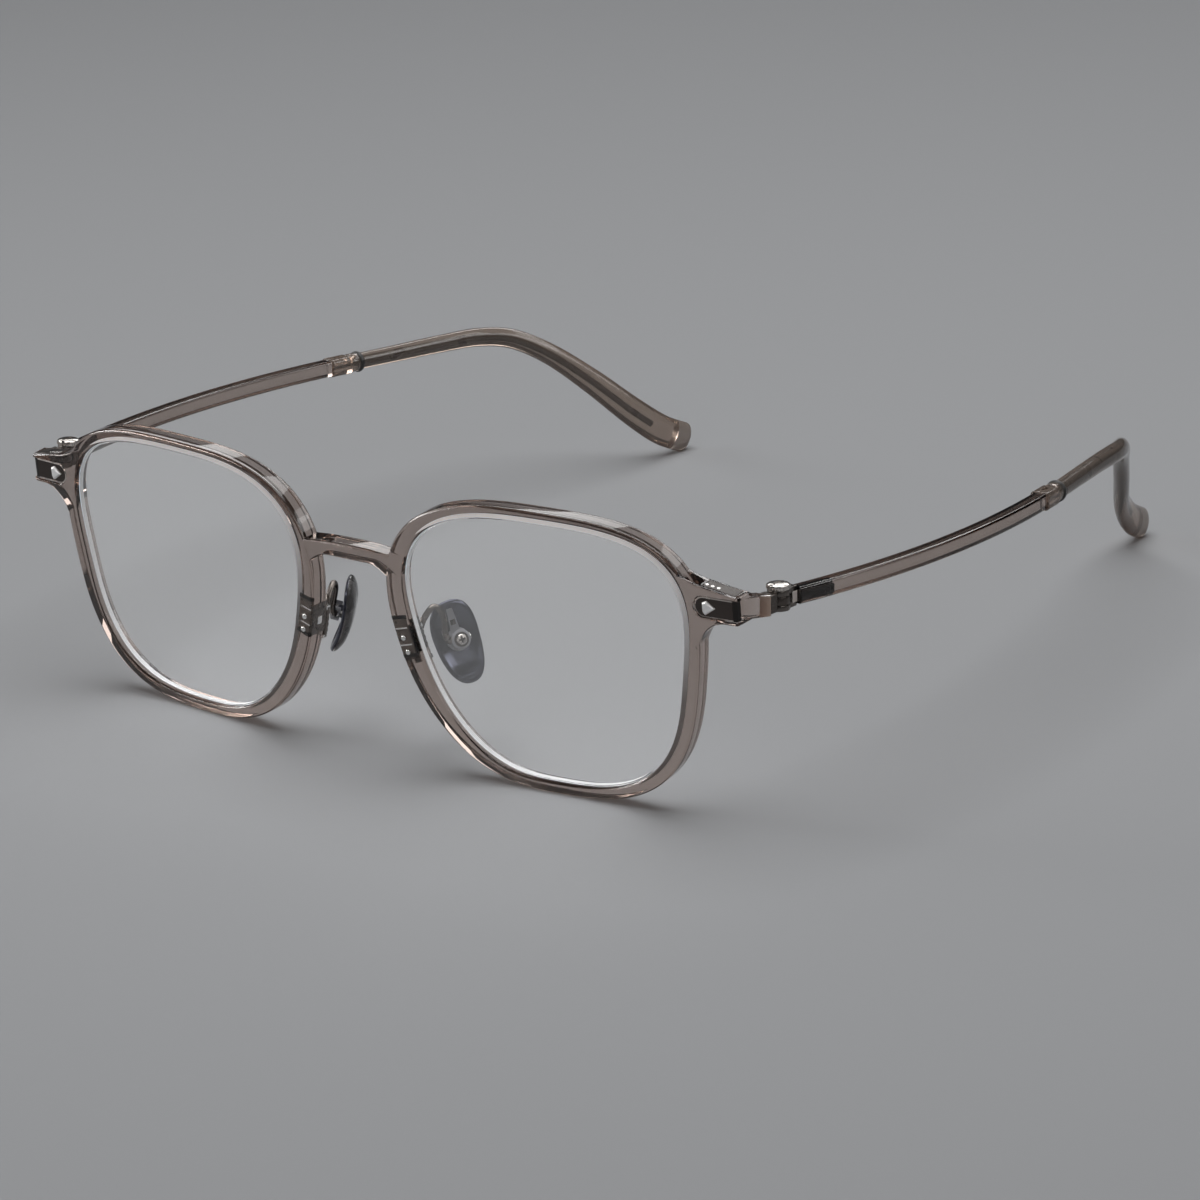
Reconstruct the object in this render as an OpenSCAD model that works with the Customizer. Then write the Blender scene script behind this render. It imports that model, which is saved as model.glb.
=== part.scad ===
// Square eyeglasses with a one-piece front, clear lenses, screwed hinges and adjustable nose pads.
// Millimetres. +Z is up, +X is the wearer's left, -Y is the way the wearer looks.
// The origin lies on the table, under the middle of the whole object.

/* [Lenses] */
// Width of one lens opening, without the taper of its shape
lens_w = 48.1; // [44:0.1:54]
// Height of one lens opening
lens_h = 42.5; // [34:0.1:48]
// Shortest distance between the two lens openings
lens_gap = 21.5; // [18:0.1:26]
// How square the outline is: 2 is an ellipse
squareness = 2.87; // [2.3:0.01:4]
// How much more square the outer half is than the nasal half
outer_squareness = 0.3; // [0:0.01:0.6]
// Growth in width towards the brow, on the temple side
brow_flare_outer = 0.13; // [0:0.01:0.2]
// Growth in width towards the brow, on the nose side
brow_flare_nasal = 0.21; // [0:0.01:0.3]
// Lens thickness
lens_t = 1.6; // [1.2:0.1:2.2]
// How far the bevel of the lens stands out
bevel_h = 0.55; // [0.3:0.05:0.7]

/* [Front] */
// Depth of the rims from front to back
rim_depth = 3.4; // [2.8:0.1:5]
// Width of the rim face above and below the lens
rim_face = 1.9; // [1.6:0.1:3]
// Extra face width at the temple side
rim_extra_outer = 0.85; // [0:0.05:2]
// Extra face width at the nose side
rim_extra_nasal = 1.6; // [0:0.05:3]
// Chamfer on the edges of the rims
rim_chamfer = 0.45; // [0.2:0.05:0.7]
// Turn of each lens plane backwards at its outer side, in degrees
wrap = 5.5; // [0:0.5:10]
// Lean of the lens planes forwards at the top, in degrees
tilt = 3.3; // [0:0.1:8]
// Height of the bridge bar
bridge_h = 2.5; // [2:0.1:5]
// Height of the middle of the bridge over the lens centre
bridge_rise = 11.3; // [5:0.1:14]
// Width of the small flats that the rims and tips stand on
foot_flat = 0.1; // [0.05:0.01:0.3]

/* [End pieces and hinges] */
// Reach of the end piece from the lens centre
end_reach = 35.3; // [33.5:0.1:40]
// Height of the end piece at its outer end
end_h = 4.7; // [4.4:0.1:6]
// Height of the end piece's middle over the lens centre
end_rise = 12.1; // [8:0.1:13]
// Height of the pocket for the hinge plate
pocket_h = 3.4; // [2.6:0.1:3.6]
// Thickness of the dark plate in the pocket
plate_t = 0.5; // [0.3:0.05:0.7]
// Distance from the outer end of the front to the hinge screw
hinge_back = 9.3; // [8:0.1:12]
// Total height of the hinge knuckles
hinge_h = 3.2; // [2.8:0.1:4]
// Radius of the hinge knuckles
knuckle_r = 1.75; // [1.5:0.05:1.9]
// Radius of the hinge screw's shank
screw_r = 0.66; // [0.5:0.02:0.8]
// Running clearance of the hinge
hinge_clear = 0.06; // [0.03:0.01:0.08]
// Radius of the hinge screw's head
screw_head_r = 1.9; // [1.6:0.05:2.2]

/* [Temples] */
// Thickness of the temple bar, side to side
bar_t = 2.5; // [2.2:0.1:3.5]
// Height of the temple bar
bar_h = 2.7; // [2.5:0.1:5]
// Radius of the outward bow of the bar
bow_r = 170; // [140:5:400]
// Distance from the hinge to the middle of the bow
bow_middle = 38; // [28:1:45]
// Distance from the hinge to the end of the bar
bar_len = 67.5; // [55:0.5:85]
// Length of the metal core in the front of the bar
core_plate_len = 7.4; // [5:0.2:16]
// Length of the clear collar behind the bar
collar_len = 4.3; // [3:0.1:7]
// Length of the black ring
ring_len = 2.7; // [1.5:0.1:4]

/* [Temple tips] */
// Length that the tip reaches backwards
tip_run = 64.5; // [50:1:80]
// How far the tip drops behind the ear
tip_drop = 23.2; // [15:0.2:32]
// How far the tip turns in towards the head
tip_turn_in = 12.2; // [4:0.1:16]
// Height of the tip behind the ring
tip_h = 2.8; // [2.6:0.1:3.6]
// Thickness of the tip
tip_t = 3.1; // [2.6:0.1:4]
// Height of the flat paddle at the end
paddle_h = 5.4; // [4:0.1:7]
// Height of the wire inside the tip
wire_h = 1.5; // [1:0.1:1.7]
// Thickness of the wire inside the tip
wire_t = 1.1; // [0.8:0.1:1.4]

/* [Nose pads] */
// Length of a nose pad
pad_len = 13.4; // [11:0.2:16]
// Width of a nose pad
pad_w = 7.4; // [6:0.1:9]
// Thickness of a nose pad at its middle
pad_t = 2; // [1.6:0.1:2.6]
// Lean of the pads, wider apart at the bottom, in degrees
pad_flare = 20; // [10:1:30]
// Turn of the pads to face backwards, in degrees
pad_splay = 32; // [20:1:40]
// Distance of the pad centre from the middle of the face
pad_out = 11.3; // [9.5:0.1:13]
// Distance of the pad centre behind the lens plane
pad_back = 9.4; // [8.6:0.1:11]
// Height of the pad centre below the lens centre
pad_below = 4.9; // [3:0.1:8]
// Diameter of the pad arm wire
arm_d = 1; // [0.8:0.05:1.2]

/* [Hidden] */

plastic = [0.45, 0.38, 0.34, 0.75];
metal = [0.72, 0.72, 0.74];
dark_metal = [0.16, 0.15, 0.15];
glass = [0.85, 0.9, 0.92, 0.25];
silicone = [0.75, 0.77, 0.85, 0.6];

// Gap between pieces that are clamped or glued together
seat = 0.05;
// Points around a lens outline
rim_steps = 72;

// Small helpers for points and directions
function unit(v) = v / norm(v);
function mix(a, b, f) = a + (b - a) * f;
function positive(v) = max(v, 0);

// Point and direction at position s of a smooth curve through pts
function knot(pts, i) = pts[max(0, min(len(pts) - 1, i))];
function curve(pts, s) = let (i = min(floor(s), len(pts) - 2), f = s - i,
    a = knot(pts, i - 1), b = knot(pts, i), c = knot(pts, i + 1), d = knot(pts, i + 2))
    b + 0.5 * f * (c - a + f * (2 * a - 5 * b + 4 * c - d + f * (3 * b - a - 3 * c + d)));
function curve_dir(pts, s) = unit(curve(pts, min(s + 0.02, len(pts) - 1)) - curve(pts, max(s - 0.02, 0)));

// Oval ring of n points round centre c, square to direction t; h is half its height, w half its width
function oval(c, t, ref, h, w, n) = let (side = unit(cross(t, ref)), up = cross(side, t))
    [for (k = [0 : n - 1]) c + side * w * cos(360 * k / n) - up * h * sin(360 * k / n)];

// Closed skin over a list of rings with the same number of points, with flat ends
module skin(rings) {
    n = len(rings[0]);
    last = len(rings) - 1;
    walls = [for (i = [0 : last - 1], k = [0 : n - 1])
        [i * n + k, (i + 1) * n + k, (i + 1) * n + (k + 1) % n, i * n + (k + 1) % n]];
    polyhedron(points = [for (r = rings) each r],
        faces = concat(walls, [[for (k = [0 : n - 1]) k]], [[for (k = [n - 1 : -1 : 0]) last * n + k]]),
        convexity = 8);
}

// Closed skin whose ends are cones to the points p0 and p1, for rings that aren't flat
module domed_skin(rings, p0, p1) {
    n = len(rings[0]);
    last = len(rings) - 1;
    points = concat([for (r = rings) each r], [p0, p1]);
    end0 = (last + 1) * n;
    polyhedron(points = points,
        faces = concat(
            [for (i = [0 : last - 1], k = [0 : n - 1])
                [i * n + k, (i + 1) * n + k, i * n + (k + 1) % n]],
            [for (i = [0 : last - 1], k = [0 : n - 1])
                [(i + 1) * n + k, (i + 1) * n + (k + 1) % n, i * n + (k + 1) % n]],
            [for (k = [0 : n - 1]) [k, (k + 1) % n, end0]],
            [for (k = [0 : n - 1]) [last * n + (k + 1) % n, last * n + k, end0 + 1]]),
        convexity = 8);
}

// Closed skin that joins its last ring to its first
module loop_skin(rings) {
    n = len(rings[0]);
    m = len(rings);
    polyhedron(points = [for (r = rings) each r],
        faces = [for (i = [0 : m - 1], k = [0 : n - 1])
            [i * n + k, ((i + 1) % m) * n + k, ((i + 1) % m) * n + (k + 1) % n, i * n + (k + 1) % n]],
        convexity = 8);
}

// Lens outline, in the lens plane: u outwards, v upwards, for the angle a from the temple side
function outline_power(a) = squareness + outer_squareness * cos(a) + 0.08 * sin(a);
function outline_r(a) = let (n = outline_power(a))
    pow(pow(abs(2 * cos(a) / lens_w), n) + pow(abs(2 * sin(a) / lens_h), n), -1 / n);
function outline_flare(a) = mix(brow_flare_nasal, brow_flare_outer, 0.5 + 0.5 * cos(a));
function outline(a) = let (r = outline_r(a))
    [r * cos(a) * (1 + outline_flare(a) * r * sin(a) * 2 / lens_h), r * sin(a)];
function outline_normal(a) = let (d = outline(a + 0.5) - outline(a - 0.5)) unit([d.y, -d.x]);
function rim_face_at(a) = rim_face + rim_extra_outer * pow(positive(cos(a)), 3)
    + rim_extra_nasal * pow(positive(-cos(a)), 3);
// Point at angle a, n outwards from the lens opening and b backwards from the front
function rim_pt(a, n, b) = let (p = outline(a) + outline_normal(a) * n) [p.x, b, p.y];

// Where the front stands
outline_left = min([for (i = [0 : rim_steps - 1]) outline(i * 360 / rim_steps).x]);
lens_x = lens_gap / 2 - outline_left * cos(wrap);
rim_low = min([for (i = [0 : rim_steps - 1]) let (a = i * 360 / rim_steps) rim_pt(a, rim_face_at(a), 0).z]);
lens_z = -rim_low * cos(tilt) - foot_flat;
// Lens plane coordinates [u, b, v] to the object's own
function front_pt(p) = let (back = p.y * cos(tilt) - p.z * sin(tilt))
    [lens_x + p.x * cos(wrap) - back * sin(wrap), p.x * sin(wrap) + back * cos(wrap),
     lens_z + p.y * sin(tilt) + p.z * cos(tilt)];
module at_lens() {
    translate([lens_x, 0, lens_z]) rotate([tilt, 0, wrap]) children();
}
groove_b = rim_depth / 2 - 0.2;
groove_half = 0.75;

// Where the hinge stands
end_corner = front_pt([end_reach, 0, end_rise]);
hinge_x = end_corner.x + 0.1;
hinge_y = end_corner.y + hinge_back;
hinge_z = end_corner.z - 0.5;

// The straight line behind the bar
bar_angle = asin((bar_len - bow_middle) / bow_r);
bow_side = bow_middle * bow_middle / (2 * bow_r);
function bow_x(y) = bow_side - (y - bow_middle) * (y - bow_middle) / (2 * bow_r);
bar_start_angle = asin(bow_middle / bow_r);
bow_centre_x = -bow_r * cos(bar_start_angle);
bar_end = [bow_centre_x + bow_r * cos(bar_angle), bar_len, 0];
module behind_bar() {
    translate(bar_end) rotate([0, 0, bar_angle]) children();
}
function behind_bar_pt(p) = [bar_end.x + p.x * cos(bar_angle) - p.y * sin(bar_angle),
    bar_end.y + p.x * sin(bar_angle) + p.y * cos(bar_angle), p.z];

// Middle line of the tip as shares of its run, drop and turn, hand drawn from the side and the top
tip_start = collar_len + ring_len;
tip_shape = [[0, 0, 0], [0.03, 0.14, 0], [0.06, 0.29, 0], [0.09, 0.41, 0.01], [0.23, 0.51, 0.06],
    [0.45, 0.61, 0.21], [0.68, 0.72, 0.45], [0.91, 0.83, 0.72], [0.99, 0.92, 0.9], [1, 1, 1]];
tip_line = [for (p = tip_shape) [-p.x * tip_turn_in, tip_start + p.y * tip_run, -p.z * tip_drop]];
tip_knots = len(tip_shape) - 1;
// Half height and half thickness of the tip at position s of its line
function tip_half_h(s) = s < 3 ? mix(tip_h, tip_h + 0.5, s / 3) / 2
    : s < 5 ? mix(tip_h + 0.5, tip_h + 0.9, (s - 3) / 2) / 2
    : mix(tip_h + 0.9, paddle_h, min(1, (s - 5) / 2.5)) / 2;
function tip_half_t(s) = mix(tip_t, tip_t - 0.3, min(1, s / 7)) / 2;
tip_sides = 16;
tip_cut = 8.5;
function tip_ring(s, grow) = oval(curve(tip_line, s), curve_dir(tip_line, s), [0, 0, 1],
    tip_half_h(s) + grow, tip_half_t(s) + grow, tip_sides);
// Rings of the rounded end, shrinking along the last direction
end_dir = curve_dir(tip_line, tip_knots);
function end_ring(out, share) = oval(tip_line[tip_knots] + end_dir * out, end_dir, [0, 0, 1],
    tip_half_h(tip_knots) * share, tip_half_t(tip_knots) * share, tip_sides);
tip_end_rings = [tip_ring(tip_cut, 0), tip_ring(mix(tip_cut, tip_knots, 0.5), 0), tip_ring(tip_knots, 0),
    end_ring(0.7, 0.93), end_ring(1.3, 0.75), end_ring(1.6, 0.5)];
wire_last = 7.6;
wire_line = concat([[0, collar_len * 0.23, 0], [0, tip_start / 2, 0]], tip_line);
function wire_ring(s, grow) = oval(curve(wire_line, s), curve_dir(wire_line, s), [0, 0, 1],
    wire_h / 2 + grow, wire_t / 2 + grow, 8);
wire_stop = wire_last + 2;

// Slope of the temples, so that the tips touch the table
tip_low_points = [for (r = tip_end_rings, p = r) behind_bar_pt(p)];
function height_at(p, slope) = hinge_z + p.z * cos(slope) - p.y * sin(slope);
function lowest(slope) = min([for (p = tip_low_points) height_at(p, slope)]);
function slope_step(slope) = slope + (lowest(slope) + foot_flat) / (bar_len + tip_run) * 180 / PI;
slope = slope_step(slope_step(slope_step(3.5)));
module at_hinge() {
    translate([hinge_x, hinge_y, hinge_z]) rotate([-slope, 0, 0]) children();
}
function back_at(p) = hinge_y + p.y * cos(slope) + p.z * sin(slope);

// Middle of the whole depth, which the origin is under
front_most = min([for (i = [0 : rim_steps - 1]) let (a = i * 360 / rim_steps)
    each [front_pt(rim_pt(a, rim_chamfer, 0)).y, front_pt(rim_pt(a, rim_face_at(a) - rim_chamfer, 0)).y]]);
back_most = max([for (p = tip_low_points) back_at(p)]);
depth_middle = (front_most + back_most) / 2;
module place(side) {
    translate([0, -depth_middle, 0]) mirror([side < 0 ? 1 : 0, 0, 0]) children();
}

// Section of the rim at angle a: eight corners and the groove for the lens bevel
function rim_section(a) = let (w = rim_face_at(a), c = rim_chamfer, d = rim_depth)
    [[0, c], [c, 0], [w - c, 0], [w, c], [w, d - c], [w - c, d], [c, d], [0, d - c],
     [0, groove_b + groove_half], [bevel_h + seat, groove_b], [0, groove_b - groove_half]];
module rim() {
    loop_skin([for (i = [0 : rim_steps - 1]) let (a = i * 360 / rim_steps)
        [for (q = rim_section(a)) rim_pt(a, q.x, q.y)]]);
}

// Arc points round a centre, from angle a0 to a1
function arc(c, r, a0, a1, steps) = [for (k = [0 : steps]) let (a = mix(a0, a1, k / steps))
    [c.x + r * cos(a), c.y + r * sin(a)]];

// Curve of n steps from p0 to p2 that is pulled towards p1
function bend(p0, p1, p2, n) = [for (k = [0 : n]) let (f = k / n) mix(mix(p0, p1, f), mix(p1, p2, f), f)];

// Outline of the end piece in the lens plane, with its concave roots into the rim
end_top = end_rise + end_h / 2;
end_low = end_rise - end_h / 2;
top_outer = [end_reach - 0.9, end_top];
top_inner = [end_reach - 6.4, end_top + 0.95];
rim_corner = rim_pt(37, rim_face_at(37) - 0.3, 0);
rim_side = rim_pt(12, rim_face_at(12) - 0.3, 0);
module end_outline() {
    r = 0.6;
    polygon(concat([for (a = [13 : 4 : 37]) let (q = rim_pt(a, rim_face_at(a) * 0.5, 0)) [q.x, q.z]],
        bend([rim_corner.x, rim_corner.z], [top_inner.x - 2, top_inner.y + 0.2], top_inner, 10),
        [top_outer],
        arc([end_reach + 0.1 - r, end_top - r], r, 80, 0, 4),
        arc([end_reach + 0.1 - r, end_low + r], r, 0, -90, 4),
        bend([end_reach - 2.6, end_low], [end_reach - 6.7, end_low + 0.1], [rim_side.x, rim_side.z], 10)));
}
// Outer end of the front as seen from above, moved inwards by d; the pocket follows it
function end_plan(d) = [[end_reach - 2, d], [end_reach - 1.2 - 0.3 * d, 0.35 + d],
    [end_reach - 0.85 - d, 1.1 + 0.3 * d]];
module seen_from_above(z0, z1) {
    translate([0, 0, z0]) linear_extrude(z1 - z0) children();
}
module end_piece() {
    intersection() {
        translate([0, rim_depth, 0]) rotate([90, 0, 0]) linear_extrude(rim_depth) end_outline();
        seen_from_above(-10, 50)
            polygon(concat([[0, 0]], end_plan(0), [[end_reach, rim_depth], [0, rim_depth]]));
    }
}
pocket_from = end_reach - 8.3;
pocket_deep = plate_t + 0.1 + seat;
module pocket() {
    r = pocket_h / 2;
    translate([pocket_from + r, pocket_deep, end_rise]) rotate([90, 0, 0])
        cylinder(r = r, h = pocket_deep + 1, $fn = 48);
    seen_from_above(end_rise - r, end_rise + r) polygon(concat(
        [[end_reach + 2, -1], [pocket_from + r, -1], [pocket_from + r, pocket_deep]], end_plan(pocket_deep),
        [[end_reach - pocket_deep, rim_depth + 1], [end_reach + 2, rim_depth + 1]]));
}
insert_len = 5;
insert_t = 0.4;
insert_w = 2;
top_slope = atan((top_inner.y - top_outer.y) / (top_outer.x - top_inner.x));
module insert_shape(grow) {
    translate([top_outer.x, 0, top_outer.y]) rotate([0, top_slope, 0])
        translate([-insert_len - 0.2 - grow, 0.7 - grow, -insert_t - grow])
            cube([insert_len + 2 * grow, insert_w + 2 * grow, insert_t + (grow > 0 ? 1 : 0)]);
}
tongue_w = 2.6;
tongue_gap = knuckle_r + 0.45;
// Arm from the end piece back to the hinge, between the end piece's lips
module tongue() {
    hull() {
        at_hinge() translate([-tongue_w / 2, -tongue_gap - 0.2, -hinge_h / 2]) cube([tongue_w, 0.2, hinge_h]);
        at_lens() translate([end_reach - pocket_deep - tongue_w - 0.4, 1.6, end_rise - pocket_h / 2 + 0.1])
            cube([tongue_w, 1.4, pocket_h - 0.2]);
    }
}
tang_len = 3.6;
tang_w = 1.2;
tang_h = 1.2;
module tang(grow) {
    translate([-tang_w / 2 - grow, -tongue_gap - tang_len - grow, -tang_h / 2 - grow])
        cube([tang_w + 2 * grow, tang_len + 1, tang_h + 2 * grow]);
}
rivet_u = end_reach - 5.9;
rivet_r = 0.6;
rivet_deep = 1.6;

// Bridge bar with chamfered edges, in sections from side to side; its underside runs down into the rims
bridge_half = lens_gap / 2 - rim_face - rim_extra_nasal + 1.7;
function bridge_low(x) = let (out = max(0, abs(x) - bridge_half + 5)) -bridge_h / 2 - 0.115 * out * out;
function bridge_top(x) = bridge_h / 2 - 0.005 * x * x;
function bridge_section(x) = let (c = rim_chamfer, d = rim_depth, z0 = bridge_low(x), z1 = bridge_top(x))
    [[x, c, z0], [x, d - c, z0], [x, d, z0 + c], [x, d, z1 - c],
     [x, d - c, z1], [x, c, z1], [x, 0, z1 - c], [x, 0, z0 + c]];
module bridge() {
    face_y = front_pt([outline_left - rim_face - rim_extra_nasal, 0, bridge_rise]).y;
    reach = bridge_half + 0.4;
    translate([0, face_y + 0.2, lens_z + bridge_rise]) rotate([tilt, 0, 0])
        skin([for (k = [-8 : 8]) bridge_section(sign(k) * reach * (1 - pow(1 - abs(k) / 8, 1.5)))]);
}

module front_half() {
    difference() {
        union() {
            at_lens() rim();
            at_lens() end_piece();
            tongue();
        }
        at_lens() pocket();
        at_lens() clip_shape(seat);
        at_lens() insert_shape(seat);
        at_lens() translate([rivet_u, rivet_deep, end_rise]) rotate([90, 0, 0])
            cylinder(r = rivet_r + seat, h = rivet_deep + 1, $fn = 24);
        at_hinge() tang(seat);
    }
}
module front_frame() {
    color(plastic) difference() {
        union() {
            place(1) front_half();
            place(-1) front_half();
            place(1) bridge();
        }
        translate([-100, -100, -10]) cube([200, 200, 10]);
    }
}

// Flat lens with a V bevel that sits in the rim's groove
module lens(side) {
    half = lens_t / 2;
    rings = [[-0.2, -half], [0, -half + 0.2], [0, -groove_half + 0.05], [bevel_h, 0],
        [0, groove_half - 0.05], [0, half - 0.2], [-0.2, half]];
    color(glass) place(side) at_lens() skin([for (q = rings)
        [for (i = [rim_steps - 1 : -1 : 0]) rim_pt(i * 360 / rim_steps, q.x - seat, groove_b + q.y)]]);
}

// Dark plate in the pocket, turned round the outer corner
module end_plate(side) {
    r = pocket_h / 2 - seat;
    front_b = pocket_deep - seat - plate_t;
    corner_u = end_reach - 2.2;
    color(dark_metal) place(side) at_lens() difference() {
        union() {
            translate([0, pocket_deep - seat, end_rise]) rotate([90, 0, 0]) linear_extrude(plate_t) {
                translate([pocket_from + r + seat, 0]) circle(r, $fn = 48);
                translate([pocket_from + r + seat, -r]) square([corner_u - pocket_from - r, 2 * r]);
            }
            seen_from_above(end_rise - r, end_rise + r) polygon(concat(
                [[corner_u, pocket_deep - seat], [corner_u, front_b]], end_plan(front_b),
                [for (k = [2 : -1 : 0]) end_plan(pocket_deep - seat)[k]]));
        }
        translate([rivet_u, 2, end_rise]) rotate([90, 0, 0]) cylinder(r = rivet_r + seat, h = 4, $fn = 24);
    }
}

// Rivet with a kite-shaped head
module end_rivet(side) {
    head_b = pocket_deep - seat - plate_t - 0.02;
    color("white") place(side) at_lens() {
        translate([rivet_u, rivet_deep - 0.1, end_rise]) rotate([90, 0, 0])
            cylinder(r = rivet_r, h = rivet_deep - 0.1 - head_b, $fn = 24);
        translate([rivet_u, head_b, end_rise]) rotate([90, 0, 0]) linear_extrude(0.45)
            polygon([[-0.85, -0.65], [-0.35, -1.2], [1.35, 0], [-0.1, 1.1], [-0.85, 0.75]]);
    }
}

// Flat metal insert in the top of the end piece
module end_insert(side) {
    color(dark_metal) place(side) at_lens() insert_shape(0);
}

ear_gap = 0.05;
middle_h = hinge_h * 0.4;
// Middle knuckle with the tang that is held in the front
module front_hinge(side) {
    color(metal) place(side) at_hinge() difference() {
        union() {
            translate([0, 0, -middle_h / 2]) cylinder(r = knuckle_r, h = middle_h, $fn = 48);
            translate([-tang_w / 2, -tongue_gap - tang_len, -tang_h / 2])
                cube([tang_w, tongue_gap + tang_len - 1, tang_h]);
        }
        translate([0, 0, -5]) cylinder(r = screw_r + hinge_clear, h = 10, $fn = 32);
    }
}

// Two ears, the web behind them and the core plate inside the bar
ear_h = (hinge_h - middle_h) / 2 - ear_gap;
web_from = knuckle_r + 0.15;
web_to = web_from + 1.3;
core_h = bar_h - 1.1;
core_low = 0.25;
core_t = 0.9;
module rear_hinge(side) {
    color(metal) place(side) at_hinge() difference() {
        union() {
            for (z = [middle_h / 2 + ear_gap, -hinge_h / 2]) {
                translate([0, 0, z]) cylinder(r = knuckle_r, h = ear_h, $fn = 48);
                translate([-bar_t / 2 + 0.1, 0, z]) cube([bar_t - 0.2, web_to, ear_h]);
            }
            translate([-bar_t / 2 + 0.1, web_from, -hinge_h / 2])
                cube([bar_t - 0.2, web_to - web_from, hinge_h]);
            core_plate(0);
        }
        translate([0, 0, -5]) cylinder(r = screw_r + hinge_clear, h = 10, $fn = 32);
    }
}
module core_plate(grow) {
    translate([bow_x(web_to), web_to, 0]) rotate([0, 0, -bar_start_angle + 1.8])
        translate([-core_t / 2 - grow, -0.5, -core_h / 2 - grow - core_low])
            cube([core_t + 2 * grow, core_plate_len + 0.5 + grow, core_h + 2 * grow]);
}

// Screw with a domed head on top of the hinge
module hinge_screw(side) {
    head_h = 1.15;
    color(metal) place(side) at_hinge() {
        translate([0, 0, -hinge_h / 2]) cylinder(r = screw_r, h = hinge_h + 0.2, $fn = 32);
        translate([0, 0, hinge_h / 2]) rotate_extrude($fn = 48)
            polygon([[0, 0], [screw_head_r - 0.15, 0], [screw_head_r, 0.2], [screw_head_r, 0.6],
                [screw_head_r - 0.25, 0.95], [screw_head_r - 0.8, 1.15], [0, head_h]]);
    }
}

// Section of the bar with chamfered edges, centred
module bar_section() {
    c = 0.45;
    x = bar_t / 2;
    z = bar_h / 2;
    polygon([[-x, -z + c], [-x + c, -z], [x - c, -z], [x, -z + c],
        [x, z - c], [x - c, z], [-x + c, z], [-x, z - c]]);
}
// Bowed bar behind the hinge, with a pocket for the core plate
module temple_bar(side) {
    start = asin((bow_middle - web_to - 0.1) / bow_r);
    color(plastic) place(side) at_hinge() difference() {
        translate([bow_centre_x, bow_middle, 0]) rotate([0, 0, -start])
            rotate_extrude(angle = start + bar_angle, $fn = 720) translate([bow_r, 0]) bar_section();
        core_plate(seat);
    }
}

// Clear collar behind the bar, with a window in its top
collar_x = tip_t / 2 + 0.1;
collar_z = tip_h / 2 + 0.1;
module collar(side) {
    bore_r = wire_h / 2 + 0.12;
    color(plastic) place(side) at_hinge() behind_bar() difference() {
        translate([0, collar_len, 0]) rotate([90, 0, 0]) linear_extrude(collar_len - seat)
            polygon([[-collar_x, -collar_z + 0.6], [-collar_x + 0.6, -collar_z], [collar_x - 0.6, -collar_z],
                [collar_x, -collar_z + 0.6], [collar_x, collar_z - 0.6], [collar_x - 0.6, collar_z],
                [-collar_x + 0.6, collar_z], [-collar_x, collar_z - 0.6]]);
        translate([0, collar_len + 1, 0]) rotate([90, 0, 0])
            cylinder(r = bore_r, h = collar_len + 0.4, $fn = 32);
        translate([-0.4, 1.4, 0]) cube([0.8, 1.6, 5]);
    }
}

// Black ring between collar and tip
ring_r = max(tip_t, tip_h) / 2 + 0.25;
module black_ring(side) {
    bore_r = wire_h / 2 + 0.12;
    color([0.04, 0.04, 0.04]) place(side) at_hinge() behind_bar()
        translate([0, collar_len, 0]) rotate([-90, 0, 0]) rotate_extrude($fn = 48)
            polygon([[bore_r, seat], [ring_r - 0.3, seat], [ring_r, 0.35], [ring_r, ring_len - 0.35],
                [ring_r - 0.3, ring_len - seat], [bore_r, ring_len - seat]]);
}

// Soft tip over its wire
module temple_tip(side) {
    color(plastic) place(side) at_hinge() behind_bar() difference() {
        skin([for (s = [0 : 0.5 : tip_cut]) tip_ring(s, 0)]);
        skin([for (s = [1.4, 2, 3, 4, 4.5, 5, 5.5, 6, 6.5, 7, 7.5, 8, 8.5, 9, wire_stop + 0.1])
            wire_ring(s, seat)]);
    }
}
module tip_wire(side) {
    color(dark_metal) place(side) at_hinge() behind_bar()
        skin([for (s = [0, 1, 2, 3, 4, 4.5, 5, 5.5, 6, 6.5, 7, 7.5, 8, 8.5, 9, wire_stop]) wire_ring(s, 0)]);
}
module tip_end(side) {
    color([0.6, 0.52, 0.47, 0.8]) difference() {
        place(side) at_hinge() behind_bar() skin(tip_end_rings);
        translate([-100, -200, -10]) cube([200, 400, 10]);
    }
}

// Bracket round the nasal side of the rim, by angle on the lens outline; it is let into the rim
clip_top = 173.5;
clip_low = 188.5;
clip_t = 0.4;
clip_back_t = 0.8;
// Strip of the bracket between two angles; n0 is measured from the lens edge, n1 from the rim's outer edge
module clip_strip(a0, a1, n0, n1, b0, b1) {
    skin([for (k = [0 : 4]) let (a = mix(a0, a1, k / 4), w = rim_face_at(a))
        [for (q = [[n0, b0], [w + n1, b0], [w + n1, b1], [n0, b1]]) rim_pt(a, q.x, q.y)]]);
}
module clip_shape(grow) {
    out = grow > 0 ? 1 : 0.02;
    da = grow * 2.2;
    inner = rim_face + 0.9 - grow;
    clip_strip(clip_top - da, clip_low + da, 1.2 - grow, out, -out, clip_t + grow);
    clip_strip(clip_top + 3 - da, clip_low + da, inner, out, 0, rim_depth);
    clip_strip(clip_top + 6 - da, clip_low + 3 + da, 0.6 - grow, out,
        rim_depth - 0.1 - grow, rim_depth + clip_back_t + out - 0.02);
}
module pad_clip(side) {
    color(metal) place(side) at_lens() clip_shape(0);
}
module clip_screws(side) {
    color("white") place(side) at_lens() for (a = [clip_low - 7, clip_low - 1.8]) {
        p = rim_pt(a, rim_face_at(a) * 0.6, -0.03);
        translate(p) rotate([90, 0, 0]) cylinder(r1 = 0.45, r2 = 0.3, h = 0.25, $fn = 24);
    }
}

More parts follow.
